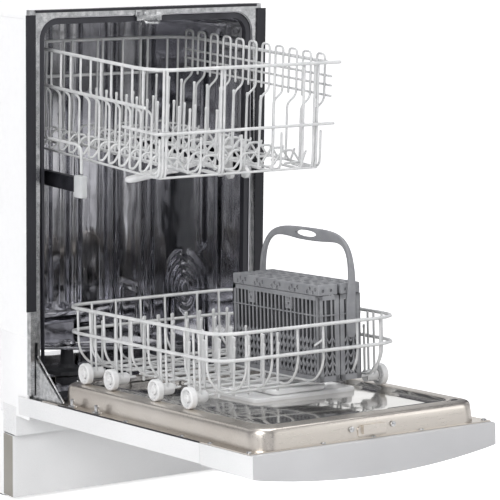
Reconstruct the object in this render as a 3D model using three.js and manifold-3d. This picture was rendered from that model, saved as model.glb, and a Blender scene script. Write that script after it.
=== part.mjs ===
// Built-in dishwasher, 45 cm class, with its door open and both baskets pulled out.
// Millimetres, +Z up, the front faces -Y. The origin is on the floor under the middle of the footprint.
import * as THREE from 'three';
import { mergeVertices } from 'three/addons/utils/BufferGeometryUtils.js';
import Module from 'manifold-3d';

const wasm = await Module();
wasm.setup();

// ---- driving dimensions ----
const cabinetWidth = 448;
const cabinetHeight = 834;
const gap = 0.3; // between pieces that touch
const sheet = 1.5; // stainless and galvanised sheet
const tubHalf = cabinetWidth / 2 - 19; // inside of the wash tub, from its middle
const tubDepth = 558;
const tubTop = cabinetHeight - 14; // underside of the tub ceiling
const tubCorner = 34; // ceiling corner radius
const tubBottom = 150;
const frameDepth = 12;
const frameBottom = 194; // the door's tail swings below this
const padThickness = 12.5;
const padStart = 112; // the side pads clear the door hinges by this much
const padStep = 290; // and reach forward to the frame above this height

const doorPlane = 189; // height of the door's inner edge at the frame
const doorTilt = 3.7; // degrees that the open door stands above level
const doorLength = 675;
const doorTail = 45; // the door's foot, behind the frame plane
const doorThickness = 31;
const consoleStart = 530;
const consoleEdge = 35; // console depth at its ends
const consoleBow = 20; // extra depth in the middle
const hingeInset = 20; // hinge axis behind and above the door plane
const pinRadius = 3;
const pinClearance = 0.35;

const linerStart = 66;
const linerEnd = 662;
const linerLedge = 30; // width of the rim that the wheels run on
const linerFloor = 6; // sunk panel above the door plane

const wireSize = 3.8;
const basketHalf = tubHalf - 33; // both baskets, outside of the side wires
const wheelRadius = 17.3;
const wheelWidth = 11;
const wheelSides = 16;
const wheelStations = [112, 195, 334, 433]; // along the door from the frame
const wheelPlay = 2.5; // between the basket side and a wheel
const lowerBack = 20;
const lowerFront = 510;
const lowerAxle = 51.5; // axle height above the door plane
const lowerFloor = 57;
const lowerMiddle = 115;
const lowerRim = 157;
const lowerBays = 10;
const crossBays = 7;

const upperBack = 165; // behind the frame plane
const upperFront = -297;
const upperFloor = 595;
const upperHeight = 162;
const upperMiddle = 110;
const upperRaised = 18; // extra height of the right side's hairpins
const upperDroop = 1.3; // degrees
const upperBays = 10;

const railHeight = 24;
const railDepth = 10;
const railLength = 380;
const railLevel = 545; // underside
const railOut = { left: 90, right: 20 }; // how far each rail stands out of the frame

const cutleryLeft = 25;
const cutleryRight = 104;
const cutleryBack = 243;
const cutleryFront = 489;
const cutleryTop = 212;
const cutleryLid = 17; // lid depth
const cutleryWall = 2.5;
const cutleryDivider = 5;
const handleMiddle = 85; // from the basket's middle, over the right half of the cutlery basket
const handleLeg = 9; // half width of the front leg
const handleFoot = 120;
const handleRise = 292;

const hubY = tubDepth / 2 + 1;
const armTop = 214;
const armThickness = 9;
const lowerArmReach = 168;
const upperArmReach = 145;
const lowerArmTurn = 150; // degrees from +X
const upperArmTurn = 24;
const filterY = hubY - 100;
const filterRadius = 32;

const toeY = 67;
const toeTop = 113;
const toeBottom = 5;
const toeReturn = 34;
const accessY = 56;
const accessTop = 165;
const panelHalf = cabinetWidth / 2 - 2;
const panelSheet = 1.2;
const ringBottom = 14;
const ringHeight = 30;
const ringWidth = 28;
const footRadius = 16;

// ---- derived places ----
const ledge = lowerAxle - wheelRadius - gap; // height of the surface that the wheels run on
const wheelX = basketHalf + wheelPlay + wheelWidth / 2;
const openingHalf = tubHalf + sheet + gap;
const frameHalf = cabinetWidth / 2;
const sidePlateX = openingHalf + 0.4;
const armPlateX = sidePlateX + 5; // door hinge arms, from the middle
const armPlate = 3;
const tilt = THREE.MathUtils.degToRad(doorTilt);

// ---- finishes ----
const finish = (color, roughness, metalness) => new THREE.MeshStandardMaterial({ color, roughness, metalness });
const stainless = () => finish(0xb4b2b0, 0.25, 1);
const galvanised = () => finish(0xa6a8aa, 0.45, 1);
const whiteEnamel = () => finish(0xe9eaea, 0.35, 0);
const whiteNylon = () => finish(0xe4e5e5, 0.4, 0);
const greyPlastic = () => finish(0x77797b, 0.5, 0);
const palePlastic = () => finish(0xc9cbcc, 0.5, 0);
const blackRubber = () => finish(0x222226, 0.8, 0);
const whiteFelt = () => finish(0xe6e6e6, 0.95, 0);

// ---- shape tools ----
const outline = (points) => new THREE.Shape(points.map(([a, b]) => new THREE.Vector2(a, b)));
const rectangle = (a0, a1, b0, b1) => outline([[a0, b0], [a1, b0], [a1, b1], [a0, b1]]);
const opening = (a0, a1, b0, b1) => new THREE.Path(rectangle(a0, a1, b0, b1).getPoints());

function roundedRectangle(a0, a1, b0, b1, r) {
  const shape = new THREE.Shape();
  shape.moveTo(a0 + r, b0);
  shape.absarc(a1 - r, b0 + r, r, -Math.PI / 2, 0, false);
  shape.absarc(a1 - r, b1 - r, r, 0, Math.PI / 2, false);
  shape.absarc(a0 + r, b1 - r, r, Math.PI / 2, Math.PI, false);
  shape.absarc(a0 + r, b0 + r, r, Math.PI, Math.PI * 1.5, false);
  return shape;
}

// The same outline as a hole, without the point that closes it.
const roundedOpening = (...args) => new THREE.Path(roundedRectangle(...args).getPoints(4).slice(0, -1));

// An upside-down U: half is its inside from the middle, top its inside height.
function arch(half, bottom, top, r, wall) {
  const shape = new THREE.Shape();
  const [H, T, R] = [half + wall, top + wall, r + wall];
  shape.moveTo(-H, bottom);
  shape.absarc(-H + R, T - R, R, Math.PI, Math.PI / 2, true);
  shape.absarc(H - R, T - R, R, Math.PI / 2, 0, true);
  shape.lineTo(H, bottom);
  shape.lineTo(half, bottom);
  shape.absarc(half - r, top - r, r, 0, Math.PI / 2, false);
  shape.absarc(-half + r, top - r, r, Math.PI / 2, Math.PI, false);
  shape.lineTo(-half, bottom);
  return shape;
}

// A flat grille of square wires centred on each value of across and up. Its prism is made cell by cell,
// so that neighbouring cells share their corners.
class Grille {
  constructor(across, up, size = wireSize) {
    const edges = (centres) => centres.flatMap((c) => [c - size / 2, c + size / 2]);
    this.columns = edges(across);
    this.rows = edges(up);
  }

  filled(i, j) {
    const inside = i >= 0 && j >= 0 && i < this.columns.length - 1 && j < this.rows.length - 1;
    return inside && (i % 2 === 0 || j % 2 === 0);
  }

  prism(depth) {
    const positions = [];
    const quad = (a, b, c, d) => positions.push(...a, ...b, ...c, ...a, ...c, ...d);
    for (let i = 0; i < this.columns.length - 1; i += 1) {
      for (let j = 0; j < this.rows.length - 1; j += 1) {
        if (!this.filled(i, j)) continue;
        const [x0, x1, y0, y1] = [this.columns[i], this.columns[i + 1], this.rows[j], this.rows[j + 1]];
        const low = [[x0, y0, 0], [x1, y0, 0], [x1, y1, 0], [x0, y1, 0]];
        const high = low.map(([x, y]) => [x, y, depth]);
        quad(high[0], high[1], high[2], high[3]);
        quad(low[3], low[2], low[1], low[0]);
        const sides = [[0, -1], [1, 0], [0, 1], [-1, 0]];
        for (const [k, [di, dj]] of sides.entries()) {
          const next = (k + 1) % 4;
          if (!this.filled(i + di, j + dj)) quad(low[k], low[next], high[next], high[k]);
        }
      }
    }
    const geometry = new THREE.BufferGeometry();
    geometry.setAttribute('position', new THREE.BufferAttribute(new Float32Array(positions), 3));
    geometry.computeVertexNormals();
    return geometry;
  }
}

const prism = (shape, depth) => (shape instanceof Grille ? shape.prism(depth)
  : new THREE.ExtrudeGeometry(shape, { depth, bevelEnabled: false, curveSegments: 5 }));
const alongZ = (shape, z0, z1) => prism(shape, z1 - z0).translate(0, 0, z0);
const alongY = (shape, y0, y1) => prism(shape, y1 - y0).rotateX(Math.PI / 2).translate(0, y1, 0);
const toX = new THREE.Matrix4().makeBasis(
  new THREE.Vector3(0, 1, 0), new THREE.Vector3(0, 0, 1), new THREE.Vector3(1, 0, 0));
const alongX = (shape, x0, x1) => prism(shape, x1 - x0).applyMatrix4(toX).translate(x0, 0, 0);

const block = (x0, x1, y0, y1, z0, z1) =>
  new THREE.BoxGeometry(x1 - x0, y1 - y0, z1 - z0).translate((x0 + x1) / 2, (y0 + y1) / 2, (z0 + z1) / 2);

// Upright round bar, and one that lies along X.
const post = (x, y, r, z0, z1, sides = 16) =>
  new THREE.CylinderGeometry(r, r, z1 - z0, sides).rotateX(Math.PI / 2).translate(x, y, (z0 + z1) / 2);
const bar = (x0, x1, y, z, r, sides = 12) =>
  new THREE.CylinderGeometry(r, r, x1 - x0, sides).rotateZ(Math.PI / 2).translate((x0 + x1) / 2, y, z);

// A turned piece: [radius, height] pairs, standing along Z.
const turned = (profile, sides = 16) =>
  new THREE.LatheGeometry(profile.map(([r, h]) => new THREE.Vector2(r, h)), sides).rotateX(Math.PI / 2);

function solid(geometry) {
  const bare = geometry.clone();
  bare.deleteAttribute('normal');
  bare.deleteAttribute('uv');
  const merged = mergeVertices(bare, 1e-4);
  return new wasm.Manifold(new wasm.Mesh({
    numProp: 3,
    vertProperties: new Float32Array(merged.attributes.position.array),
    triVerts: new Uint32Array(merged.index.array),
  }));
}

function geometryOf(manifold) {
  const mesh = manifold.getMesh();
  const geometry = new THREE.BufferGeometry();
  geometry.setAttribute('position', new THREE.BufferAttribute(new Float32Array(mesh.vertProperties), 3));
  geometry.setIndex(new THREE.BufferAttribute(new Uint32Array(mesh.triVerts), 1));
  geometry.computeVertexNormals();
  return geometry;
}

const join = (first, ...rest) => geometryOf(rest.reduce((all, g) => all.add(solid(g)), solid(first)));
const cut = (first, ...tools) => geometryOf(tools.reduce((left, g) => left.subtract(solid(g)), solid(first)));

const spread = (from, to, bays) => Array.from({ length: bays + 1 }, (_, i) => from + ((to - from) * i) / bays);

// ---- groups ----
const product = new THREE.Group();
const cabinet = new THREE.Group();
const doorFrame = new THREE.Group(); // X across, -Y outwards along the door, Z above it
doorFrame.rotation.x = -tilt;
doorFrame.position.z = doorPlane;
const upperFrame = new THREE.Group();
upperFrame.rotation.x = THREE.MathUtils.degToRad(upperDroop);
upperFrame.position.set(0, (upperBack + upperFront) / 2, upperFloor);
product.add(cabinet, doorFrame, upperFrame);

function add(group, name, geometry, material) {
  const mesh = new THREE.Mesh(geometry, material);
  mesh.name = name;
  group.add(mesh);
}

// ---- wash tub ----
const tailRoom = block(-frameHalf, frameHalf, 0, doorTail + 15, 0, frameBottom);
add(cabinet, 'tub_wrapper',
  cut(alongY(arch(tubHalf, tubBottom, tubTop, tubCorner, sheet), 2, 2 + tubDepth), tailRoom), stainless());
add(cabinet, 'tub_back',
  block(-tubHalf - sheet, tubHalf + sheet, 2 + tubDepth + gap, 2 + tubDepth + gap + sheet, tubBottom, tubTop + sheet),
  stainless());

function tubFloor() {
  const lip = 5; // above the door plane, clear of the door's tail
  const pan = -14;
  const end = tubDepth - 6;
  const edge = tubHalf - 0.4;
  const dip = doorTail + 8;
  const step = alongX(outline([
    [2, lip], [dip, lip], [dip + 10, pan], [end, pan], [end, pan + sheet],
    [dip + 10 + sheet, pan + sheet], [dip + sheet, lip + sheet], [2, lip + sheet],
  ]), -edge, edge);
  const track = (side) => {
    const inner = side * (basketHalf + wheelPlay);
    const [a, b] = [Math.min(inner, side * edge), Math.max(inner, side * edge)];
    const [c, d] = [Math.min(inner, inner + side * sheet), Math.max(inner, inner + side * sheet)];
    return [
      block(a, b, 2, end, ledge - sheet, ledge),
      block(c, d, 2, dip, lip, ledge),
      block(c, d, dip, end, pan + sheet / 2, ledge),
    ];
  };
  const well = post(0, filterY, filterRadius + 0.4, -60, 40);
  return cut(join(step, ...track(-1), ...track(1)), well);
}
add(doorFrame, 'tub_floor', tubFloor(), stainless());

// ---- front frame and what sits on it ----
const archRadius = tubCorner + sheet + gap;
const slotHalf = 3; // each side of a hinge arm's middle
const armMiddle = armPlateX + armPlate / 2;
const armSlot = (side, y0, y1, z0, z1) =>
  block(side * armMiddle - slotHalf, side * armMiddle + slotHalf, y0, y1, z0, z1);

function frontFrame() {
  const shape = arch(openingHalf, frameBottom, tubTop + sheet + gap, archRadius, 0);
  const points = shape.getPoints(5);
  const inner = points.slice(Math.ceil(points.length / 2));
  const outer = [[-frameHalf, frameBottom], [-frameHalf, cabinetHeight], [frameHalf, cabinetHeight],
    [frameHalf, frameBottom]].map(([a, b]) => new THREE.Vector2(a, b));
  const face = alongY(new THREE.Shape([...outer, ...inner]), 0, frameDepth);
  const top = doorPlane + 95;
  return cut(face, armSlot(-1, -1, frameDepth + 1, frameBottom - 1, top),
    armSlot(1, -1, frameDepth + 1, frameBottom - 1, top));
}
add(cabinet, 'front_frame', frontFrame(), galvanised());

for (const [side, word] of [[-1, 'left'], [1, 'right']]) {
  const inner = side * (openingHalf + 8);
  const outer = side * (frameHalf + 8);
  const [low, high] = [Math.min(inner, outer), Math.max(inner, outer)];
  add(cabinet, `edge_strip_${word}`, block(low, high, -3, -gap, doorPlane + 148, cabinetHeight - 8), blackRubber());
  const pad = [side * (sidePlateX + 2.5), side * (sidePlateX + 2.5 + padThickness)];
  const felt = outline([
    [padStart, tubBottom + 22], [tubDepth, tubBottom + 22], [tubDepth, tubTop - 2], [frameDepth + gap, tubTop - 2],
    [frameDepth + gap, padStep], [padStart, padStep],
  ]);
  add(cabinet, `side_pad_${word}`, alongX(felt, Math.min(...pad), Math.max(...pad)), whiteFelt());
}

const gasketWidth = 9;
add(cabinet, 'door_gasket',
  alongY(arch(tubHalf - gap - gasketWidth, doorPlane + ledge + 6, tubTop - gap - gasketWidth - 1,
    tubCorner - gasketWidth, gasketWidth), 4, 16), blackRubber());
const strikerTop = cabinetHeight - 3;
add(cabinet, 'door_striker', cut(
  join(block(-26, 26, -1.6, -gap, strikerTop - 12, strikerTop),
    block(-10, 10, -9, -1, strikerTop - 10, strikerTop - 2)),
  block(-7, 7, -7, -1.6, strikerTop - 11, strikerTop - 1)), galvanised());

// ---- base ----
const ringFront = toeY + toeReturn + 3;
const ringBack = tubDepth - 12;
const ringHalf = panelHalf - 4;
const hingeY = hingeInset * (Math.cos(tilt) + Math.sin(tilt));
const hingeZ = doorPlane + hingeInset * (Math.cos(tilt) - Math.sin(tilt));

function baseFrame() {
  const ring = rectangle(-ringHalf, ringHalf, ringFront, ringBack);
  ring.holes.push(opening(-ringHalf + ringWidth, ringHalf - ringWidth, ringFront + ringWidth, ringBack - ringWidth));
  const parts = [alongZ(ring, ringBottom, ringBottom + ringHeight)];
  const shelf = frameBottom + 2; // the side plates reach forward over the door's tail
  for (const side of [-1, 1]) {
    const x = [side * sidePlateX, side * (sidePlateX + 2)];
    const plate = outline([
      [ringFront + 4, ringBottom + 10], [ringBack - 4, ringBottom + 10], [ringBack - 4, tubBottom - 6],
      [ringFront + 40, tubBottom - 6], [ringFront + 4, hingeZ + 12], [frameDepth + 1, hingeZ + 12],
      [frameDepth + 1, shelf], [doorTail + 18, shelf], [doorTail + 18, accessTop + 4], [ringFront + 4, accessTop - 20],
    ]);
    parts.push(alongX(plate, Math.min(...x), Math.max(...x)));
    const pin = [side * (sidePlateX + 1), side * (armPlateX + armPlate + 1.5)];
    parts.push(bar(Math.min(...pin), Math.max(...pin), hingeY, hingeZ, pinRadius));
  }
  return join(...parts);
}
add(cabinet, 'base_frame', baseFrame(), galvanised());

const footX = ringHalf - ringWidth / 2;
for (const [x, side] of [[-footX, 'left'], [footX, 'right']]) {
  for (const [y, end] of [[ringFront + ringWidth / 2, 'front'], [ringBack - ringWidth / 2, 'back']]) {
    add(cabinet, `levelling_foot_${end}_${side}`, turned(
      [[0, 0], [footRadius, 0], [footRadius, 4], [6, 7], [6, ringBottom - gap], [0, ringBottom - gap]], 12)
      .translate(x, y, 0), blackRubber());
  }
}

function foldedPanel(y, depth, z0, z1) {
  const t = panelSheet;
  return alongZ(outline([
    [-panelHalf, y], [panelHalf, y], [panelHalf, y + depth], [panelHalf - t, y + depth], [panelHalf - t, y + t],
    [-panelHalf + t, y + t], [-panelHalf + t, y + depth], [-panelHalf, y + depth],
  ]), z0, z1);
}
add(cabinet, 'toe_kick_panel', foldedPanel(toeY, toeReturn, toeBottom, toeTop), whiteEnamel());
add(cabinet, 'access_panel', foldedPanel(accessY, toeReturn + 12, toeTop + 2, accessTop), whiteEnamel());

add(cabinet, 'circulation_pump', turned(
  [[0, 0], [40, 0], [44, 12], [44, 30], [34, 40], [34, 105], [26, 112], [0, 112]], 16)
  .rotateY(Math.PI / 2).translate(-56, hubY + 30, 92), greyPlastic());
add(cabinet, 'counterweight',
  block(-150, 150, ringBack - 130, ringBack - ringWidth - 2, ringBottom, ringBottom + 62), blackRubber());

// ---- water parts in the tub ----
const panTop = (y) => doorPlane - y * Math.sin(tilt) - 14 + sheet; // height of the sloping tub floor
const hubBase = panTop(hubY) + 3.5;
add(cabinet, 'spray_hub', turned([
  [0, 0], [38, 0], [36, 6], [18, 10], [13, 16], [11, armTop - armThickness - hubBase - gap],
  [0, armTop - armThickness - hubBase - gap]]).translate(0, hubY, hubBase), palePlastic());
const filterTop = panTop(filterY) + 5;
add(cabinet, 'filter_cylinder', turned([
  [0, -48], [filterRadius - 6, -48], [filterRadius - 3, -6], [filterRadius - 0.6, 0], [10, 2], [8, 12], [0, 12]])
  .translate(0, filterY, filterTop), greyPlastic());
add(cabinet, 'rear_water_duct', alongZ(roundedRectangle(
  -21, 21, tubDepth - 20, tubDepth + 2 - gap, 8), tubBottom + 20, upperFloor + 5), palePlastic());

function sprayArm(reach, root, tip, thickness) {
  const blade = outline([
    [-reach, -tip], [-reach + 8, -tip - 4], [-20, -root], [20, -root], [reach - 8, -tip - 4], [reach, -tip],
    [reach, tip], [reach - 8, tip + 4], [20, root], [-20, root], [-reach + 8, tip + 4], [-reach, tip],
  ]);
  return join(alongZ(blade, 0, thickness), post(0, 0, 20, 0, thickness + 3, 14));
}
add(cabinet, 'lower_spray_arm', sprayArm(lowerArmReach, 20, 9, armThickness - 3)
  .rotateZ(THREE.MathUtils.degToRad(lowerArmTurn)).translate(0, hubY, armTop - armThickness), stainless());

// ---- upper basket, its rails and its spray arm ----
const railInner = basketHalf + wireSize + 4;
for (const [side, word] of [[-1, 'left'], [1, 'right']]) {
  const back = side * (railInner + railDepth);
  const front = side * railInner;
  const web = side * (railInner + railDepth - 2);
  const z = railLevel;
  const channel = outline([
    [back, z], [back, z + railHeight], [front, z + railHeight], [front, z + railHeight - 2],
    [web, z + railHeight - 2], [web, z + 2], [front, z + 2], [front, z],
  ]);
  add(cabinet, `upper_rail_${word}`, alongY(channel, -railOut[word], railLength - railOut[word]), galvanised());
}

const upperHalfDepth = (upperBack - upperFront) / 2;
const upLevels = [wireSize / 2, upperMiddle, upperHeight];
const upAlong = spread(-upperHalfDepth + wireSize / 2, upperHalfDepth - wireSize / 2, upperBays);
const acrossInner = basketHalf - wireSize - gap - wireSize / 2;
const upAcross = spread(-acrossInner, acrossInner, crossBays);
const upInner = upperHalfDepth - wireSize - gap - wireSize / 2;
add(upperFrame, 'upper_basket_floor',
  alongZ(new Grille(upAcross, spread(-upInner, upInner, upperBays)), 0, wireSize), whiteNylon());
add(upperFrame, 'upper_basket_left',
  alongX(new Grille(upAlong, upLevels), -basketHalf, -basketHalf + wireSize), whiteNylon());
add(upperFrame, 'upper_basket_right',
  alongX(new Grille(upAlong, [...upLevels, upperHeight + upperRaised]), basketHalf - wireSize, basketHalf), whiteNylon());
add(upperFrame, 'upper_basket_front',
  alongY(new Grille(upAcross, upLevels), -upperHalfDepth, -upperHalfDepth + wireSize), whiteNylon());
add(upperFrame, 'upper_basket_back',
  alongY(new Grille(upAcross, upLevels), upperHalfDepth - wireSize, upperHalfDepth), whiteNylon());

const feedTop = -2;
const feedBottom = -14;
add(upperFrame, 'upper_arm_feed', join(
  block(-11, 11, 0, upperHalfDepth - 4, feedBottom, feedTop), post(0, 0, 22, feedBottom - 2, feedTop, 14)),
  palePlastic());
add(upperFrame, 'upper_spray_arm', sprayArm(upperArmReach, 17, 8, armThickness - 3)
  .rotateZ(THREE.MathUtils.degToRad(upperArmTurn)).translate(0, 0, feedBottom - 2 - gap - armThickness), whiteNylon());

// ---- door ----
const doorHalf = cabinetWidth / 2;
add(doorFrame, 'door_outer_panel', cut(
  block(-doorHalf, doorHalf, -consoleStart + gap, doorTail, -doorThickness, 0),
  block(-doorHalf + sheet, doorHalf - sheet, -consoleStart + 2, doorTail - sheet, -doorThickness + sheet, 1)),
  whiteEnamel());

const buttonX = [-70, -40];
const buttonS = 600;
const buttonRadius = 7;
function controlConsole() {
  const face = new THREE.Shape();
  face.moveTo(-doorHalf, 0);
  face.lineTo(-doorHalf, -consoleEdge);
  face.quadraticCurveTo(0, -consoleEdge - 2 * consoleBow, doorHalf, -consoleEdge);
  face.lineTo(doorHalf, 0);
  const shell = new THREE.ExtrudeGeometry(face, { depth: doorLength - consoleStart, bevelEnabled: false,
    curveSegments: 12 }).rotateX(Math.PI / 2).translate(0, -consoleStart, 0);
  const room = block(-doorHalf + 26, doorHalf - 26, -linerEnd + 12, -consoleStart - 14, -consoleEdge + 7, 1);
  const holes = buttonX.map((x) => post(x, -buttonS, buttonRadius + gap, -consoleEdge - 2 * consoleBow, 0));
  return cut(shell, room, ...holes);
}
add(doorFrame, 'control_console', controlConsole(), whiteEnamel());
for (const [i, word] of ['power_button', 'start_button'].entries()) {
  add(doorFrame, word,
    post(buttonX[i], -buttonS, buttonRadius, -consoleEdge - consoleBow - 1.5, -consoleEdge + 10, 14), palePlastic());
}

const latchHalf = 20;
const latchLow = 8;
const latchHigh = 22;
function doorLiner() {
  const out = tubHalf;
  const inn = out - linerLedge;
  const flange = rectangle(-doorHalf + 2, doorHalf - 2, -linerEnd - 1.5, -linerStart + 30);
  flange.holes.push(roundedOpening(-out + sheet, out - sheet, -linerEnd + sheet, -linerStart - sheet, 14));
  const ring = (half, s0, s1, r, wall) => {
    const shape = roundedRectangle(-half, half, -s1, -s0, r);
    shape.holes.push(roundedOpening(-half + wall, half - wall, -s1 + wall, -s0 - wall, Math.max(r - wall, 3)));
    return shape;
  };
  const pocketR = 26;
  const pan = roundedRectangle(-inn, inn, -linerEnd + linerLedge, -linerStart - linerLedge, pocketR);
  const body = join(
    alongZ(flange, gap, gap + sheet),
    alongZ(ring(out, linerStart, linerEnd, 16, sheet), gap, ledge),
    alongZ(ring(out, linerStart, linerEnd, 16, linerLedge), ledge - sheet, ledge),
    alongZ(ring(inn + sheet, linerStart + linerLedge - sheet, linerEnd - linerLedge + sheet, pocketR, sheet),
      linerFloor - sheet, ledge),
    alongZ(pan, linerFloor - sheet, linerFloor));
  const latchHole = block(-latchHalf - 1, latchHalf + 1, -linerEnd - 5, -linerEnd + 5, latchLow - 1, latchHigh + 1);
  return cut(body, armSlot(-1, -110, 60, -5, 5), armSlot(1, -110, 60, -5, 5), latchHole);
}
add(doorFrame, 'door_liner', doorLiner(), stainless());
add(doorFrame, 'door_latch',
  block(-latchHalf, latchHalf, -linerEnd - 6, -linerEnd + 8, latchLow, latchHigh), galvanised());

for (const [side, word] of [[-1, 'left'], [1, 'right']]) {
  const x = [side * armPlateX, side * (armPlateX + armPlate)];
  const arm = outline([[34, 8], [16, 70], [4, 72], [-88, 3], [-88, -20], [22, -20]]);
  const plate = alongX(arm, Math.min(...x), Math.max(...x));
  const eye = bar(Math.min(...x) - 1, Math.max(...x) + 1, hingeInset, hingeInset, pinRadius + pinClearance);
  add(doorFrame, `hinge_arm_${word}`, cut(plate, eye), galvanised());
}

// Dispenser: [X from, X to], [outwards from, outwards to] on the sunk panel.
const dispenserX = [-57, 138];
const dispenserS = [222, 430];
const dispenserTop = 24;
const lidX = [-16, 87];
const lidS = [335, 422];
const capAt = [112, 262];
add(doorFrame, 'dispenser_body', cut(
  alongZ(roundedRectangle(...dispenserX, -dispenserS[1], -dispenserS[0], 12), linerFloor + gap, dispenserTop),
  block(lidX[0] + 9, lidX[1] - 9, -lidS[1] + 8, -lidS[0] - 8, linerFloor + 3, dispenserTop + 1)), whiteNylon());
add(doorFrame, 'detergent_lid',
  alongZ(roundedRectangle(...lidX, -lidS[1], -lidS[0], 8), dispenserTop + gap, dispenserTop + 3.5), whiteNylon());
add(doorFrame, 'rinse_aid_cap', turned([[0, 0], [19, 0], [18, 6], [8, 6], [6, 11], [0, 11]])
  .translate(capAt[0], -capAt[1], dispenserTop + gap), palePlastic());

// ---- lower basket ----
const lowLevels = [lowerFloor, lowerMiddle, lowerRim];
const lowAlong = spread(-lowerFront + wireSize / 2, -lowerBack - wireSize / 2, lowerBays);
const lowInner = wireSize + gap + wireSize / 2;
add(doorFrame, 'lower_basket_floor', alongZ(
  new Grille(upAcross, spread(-lowerFront + lowInner, -lowerBack - lowInner, lowerBays)),
  lowerFloor - wireSize / 2, lowerFloor + wireSize / 2), whiteNylon());
for (const [side, word] of [[-1, 'left'], [1, 'right']]) {
  const x = [side * basketHalf, side * (basketHalf - wireSize)];
  const parts = [alongX(new Grille(lowAlong, lowLevels), Math.min(...x), Math.max(...x))];
  for (const s of wheelStations) {
    parts.push(block(Math.min(...x), Math.max(...x), -s - 8, -s + 8, lowerAxle - 7, lowerFloor + 8));
    const stub = [side * (basketHalf - 1), side * (wheelX + wheelWidth / 2 + 1)];
    parts.push(bar(Math.min(...stub), Math.max(...stub), -s, lowerAxle, pinRadius));
  }
  add(doorFrame, `lower_basket_${word}`, join(...parts), whiteNylon());
}
add(doorFrame, 'lower_basket_front',
  alongY(new Grille(upAcross, lowLevels), -lowerFront, -lowerFront + wireSize), whiteNylon());
add(doorFrame, 'lower_basket_back',
  alongY(new Grille(upAcross, lowLevels), -lowerBack - wireSize, -lowerBack), whiteNylon());

const half = wheelWidth / 2;
const boreRadius = pinRadius + pinClearance;
for (const [side, word] of [[-1, 'left'], [1, 'right']]) {
  for (const [i, s] of wheelStations.entries()) {
    const wheel = turned([
      [boreRadius, -half], [8, -half], [8, -half + 3], [wheelRadius - 3, -half + 3], [wheelRadius - 2, -half],
      [wheelRadius, -half + 2], [wheelRadius, half - 1], [wheelRadius - 1, half], [boreRadius, half],
      [boreRadius, -half],
    ], wheelSides).rotateY(-side * Math.PI / 2).translate(side * wheelX, -s, lowerAxle);
    add(doorFrame, `lower_wheel_${word}_${i + 1}`, wheel, whiteNylon());
  }
}

// ---- cutlery basket ----
const cutleryFloor = lowerFloor + wireSize / 2 + gap;
const cutleryRimTop = cutleryTop - cutleryLid;
const cutleryMiddle = (cutleryLeft + cutleryRight) / 2;
const pockets = [
  [cutleryLeft + cutleryWall, cutleryMiddle - cutleryDivider / 2],
  [cutleryMiddle + cutleryDivider / 2, cutleryRight - cutleryWall],
];
add(doorFrame, 'cutlery_basket', cut(
  block(cutleryLeft, cutleryRight, -cutleryFront, -cutleryBack, cutleryFloor, cutleryRimTop - gap),
  ...pockets.map(([a, b]) => block(a, b, -cutleryFront + cutleryWall, -cutleryBack - cutleryWall,
    cutleryFloor + cutleryWall, cutleryRimTop + 1))), greyPlastic());

function cutleryLidShape(x0, x1) {
  const [y0, y1] = [-cutleryFront, -cutleryBack];
  const middle = (x0 + x1) / 2;
  const room = block(x0 + cutleryWall, x1 - cutleryWall, y0 + cutleryWall, y1 - cutleryWall,
    cutleryRimTop - 1, cutleryTop - 3);
  const rows = spread(y0, y1, 8).slice(1).map((y) => y - (y1 - y0) / 16);
  const slots = rows.flatMap((y) => [[-11, -2], [2, 11]].map(([a, b]) =>
    block(middle + a, middle + b, y - 8, y + 8, cutleryTop - 4, cutleryTop + 1)));
  return cut(block(x0, x1, y0, y1, cutleryRimTop, cutleryTop), room, ...slots);
}
const lidGap = cutleryDivider / 2 + gap;
add(doorFrame, 'cutlery_lid_left', cutleryLidShape(cutleryLeft, cutleryMiddle - lidGap), greyPlastic());
add(doorFrame, 'cutlery_lid_right', cutleryLidShape(cutleryMiddle + lidGap, cutleryRight), greyPlastic());

function basketHandle() {
  const [front, back] = [cutleryFront + gap, cutleryBack - gap];
  const top = handleRise;
  const bow = outline([
    [-back, cutleryRimTop - 14], [-back, 214], [-back - 9, 229], [-back - 16, 249], [-back - 28, 263], [-back - 43, 272],
    [-back - 58, 275], [-back - 81, 272], [-back - 109, 269], [-back - 143, 270], [-back - 179, 274], [-back - 201, 276],
    [-front + 27, 268], [-front + 14, 253], [-front + 6, 235], [-front, 216], [-front, 200], [-front - 4, 200],
    [-front - 10, 221], [-front - 5, 252], [-front + 2, 271], [-front + 18, 283], [-front + 40, 287],
    [-front + 81, top - 1], [-back - 110, top], [-back - 64, top - 2], [-back - 41, 285], [-back - 23, 277],
    [-back - 10, 265], [-back - 1, 248], [-back + 3, 215], [-back + 4, cutleryRimTop - 14],
  ]);
  const x = handleMiddle - cutleryDivider / 2;
  const leg = block(handleMiddle - handleLeg, handleMiddle + handleLeg, -front - 3.5, -front, handleFoot, 222);
  const grip = alongX(roundedRectangle(-back - 152, -back - 90, top - 16, top - 6, 4.9), x - 1, x + cutleryDivider + 1);
  return cut(join(alongX(bow, x, x + cutleryDivider), leg), grip);
}
add(doorFrame, 'cutlery_handle', basketHandle(), greyPlastic());

// ---- origin under the middle of the footprint ----
product.updateMatrixWorld(true);
const middle = new THREE.Box3().setFromObject(product, true).getCenter(new THREE.Vector3());
product.position.y = -middle.y;
product.updateMatrixWorld(true);

export default product;
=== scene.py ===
"""A 45 cm built-in dishwasher with its door down and both wire baskets pulled out.

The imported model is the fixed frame. Each sub-assembly is a class that holds its sizes in millimetres,
builds its pieces with the modelling operators and dresses them in the finish of the real one.
"""

import logging
import math
from dataclasses import dataclass, field
from enum import Enum
from typing import Sequence

import bpy
from mathutils import Matrix, Vector


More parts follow.
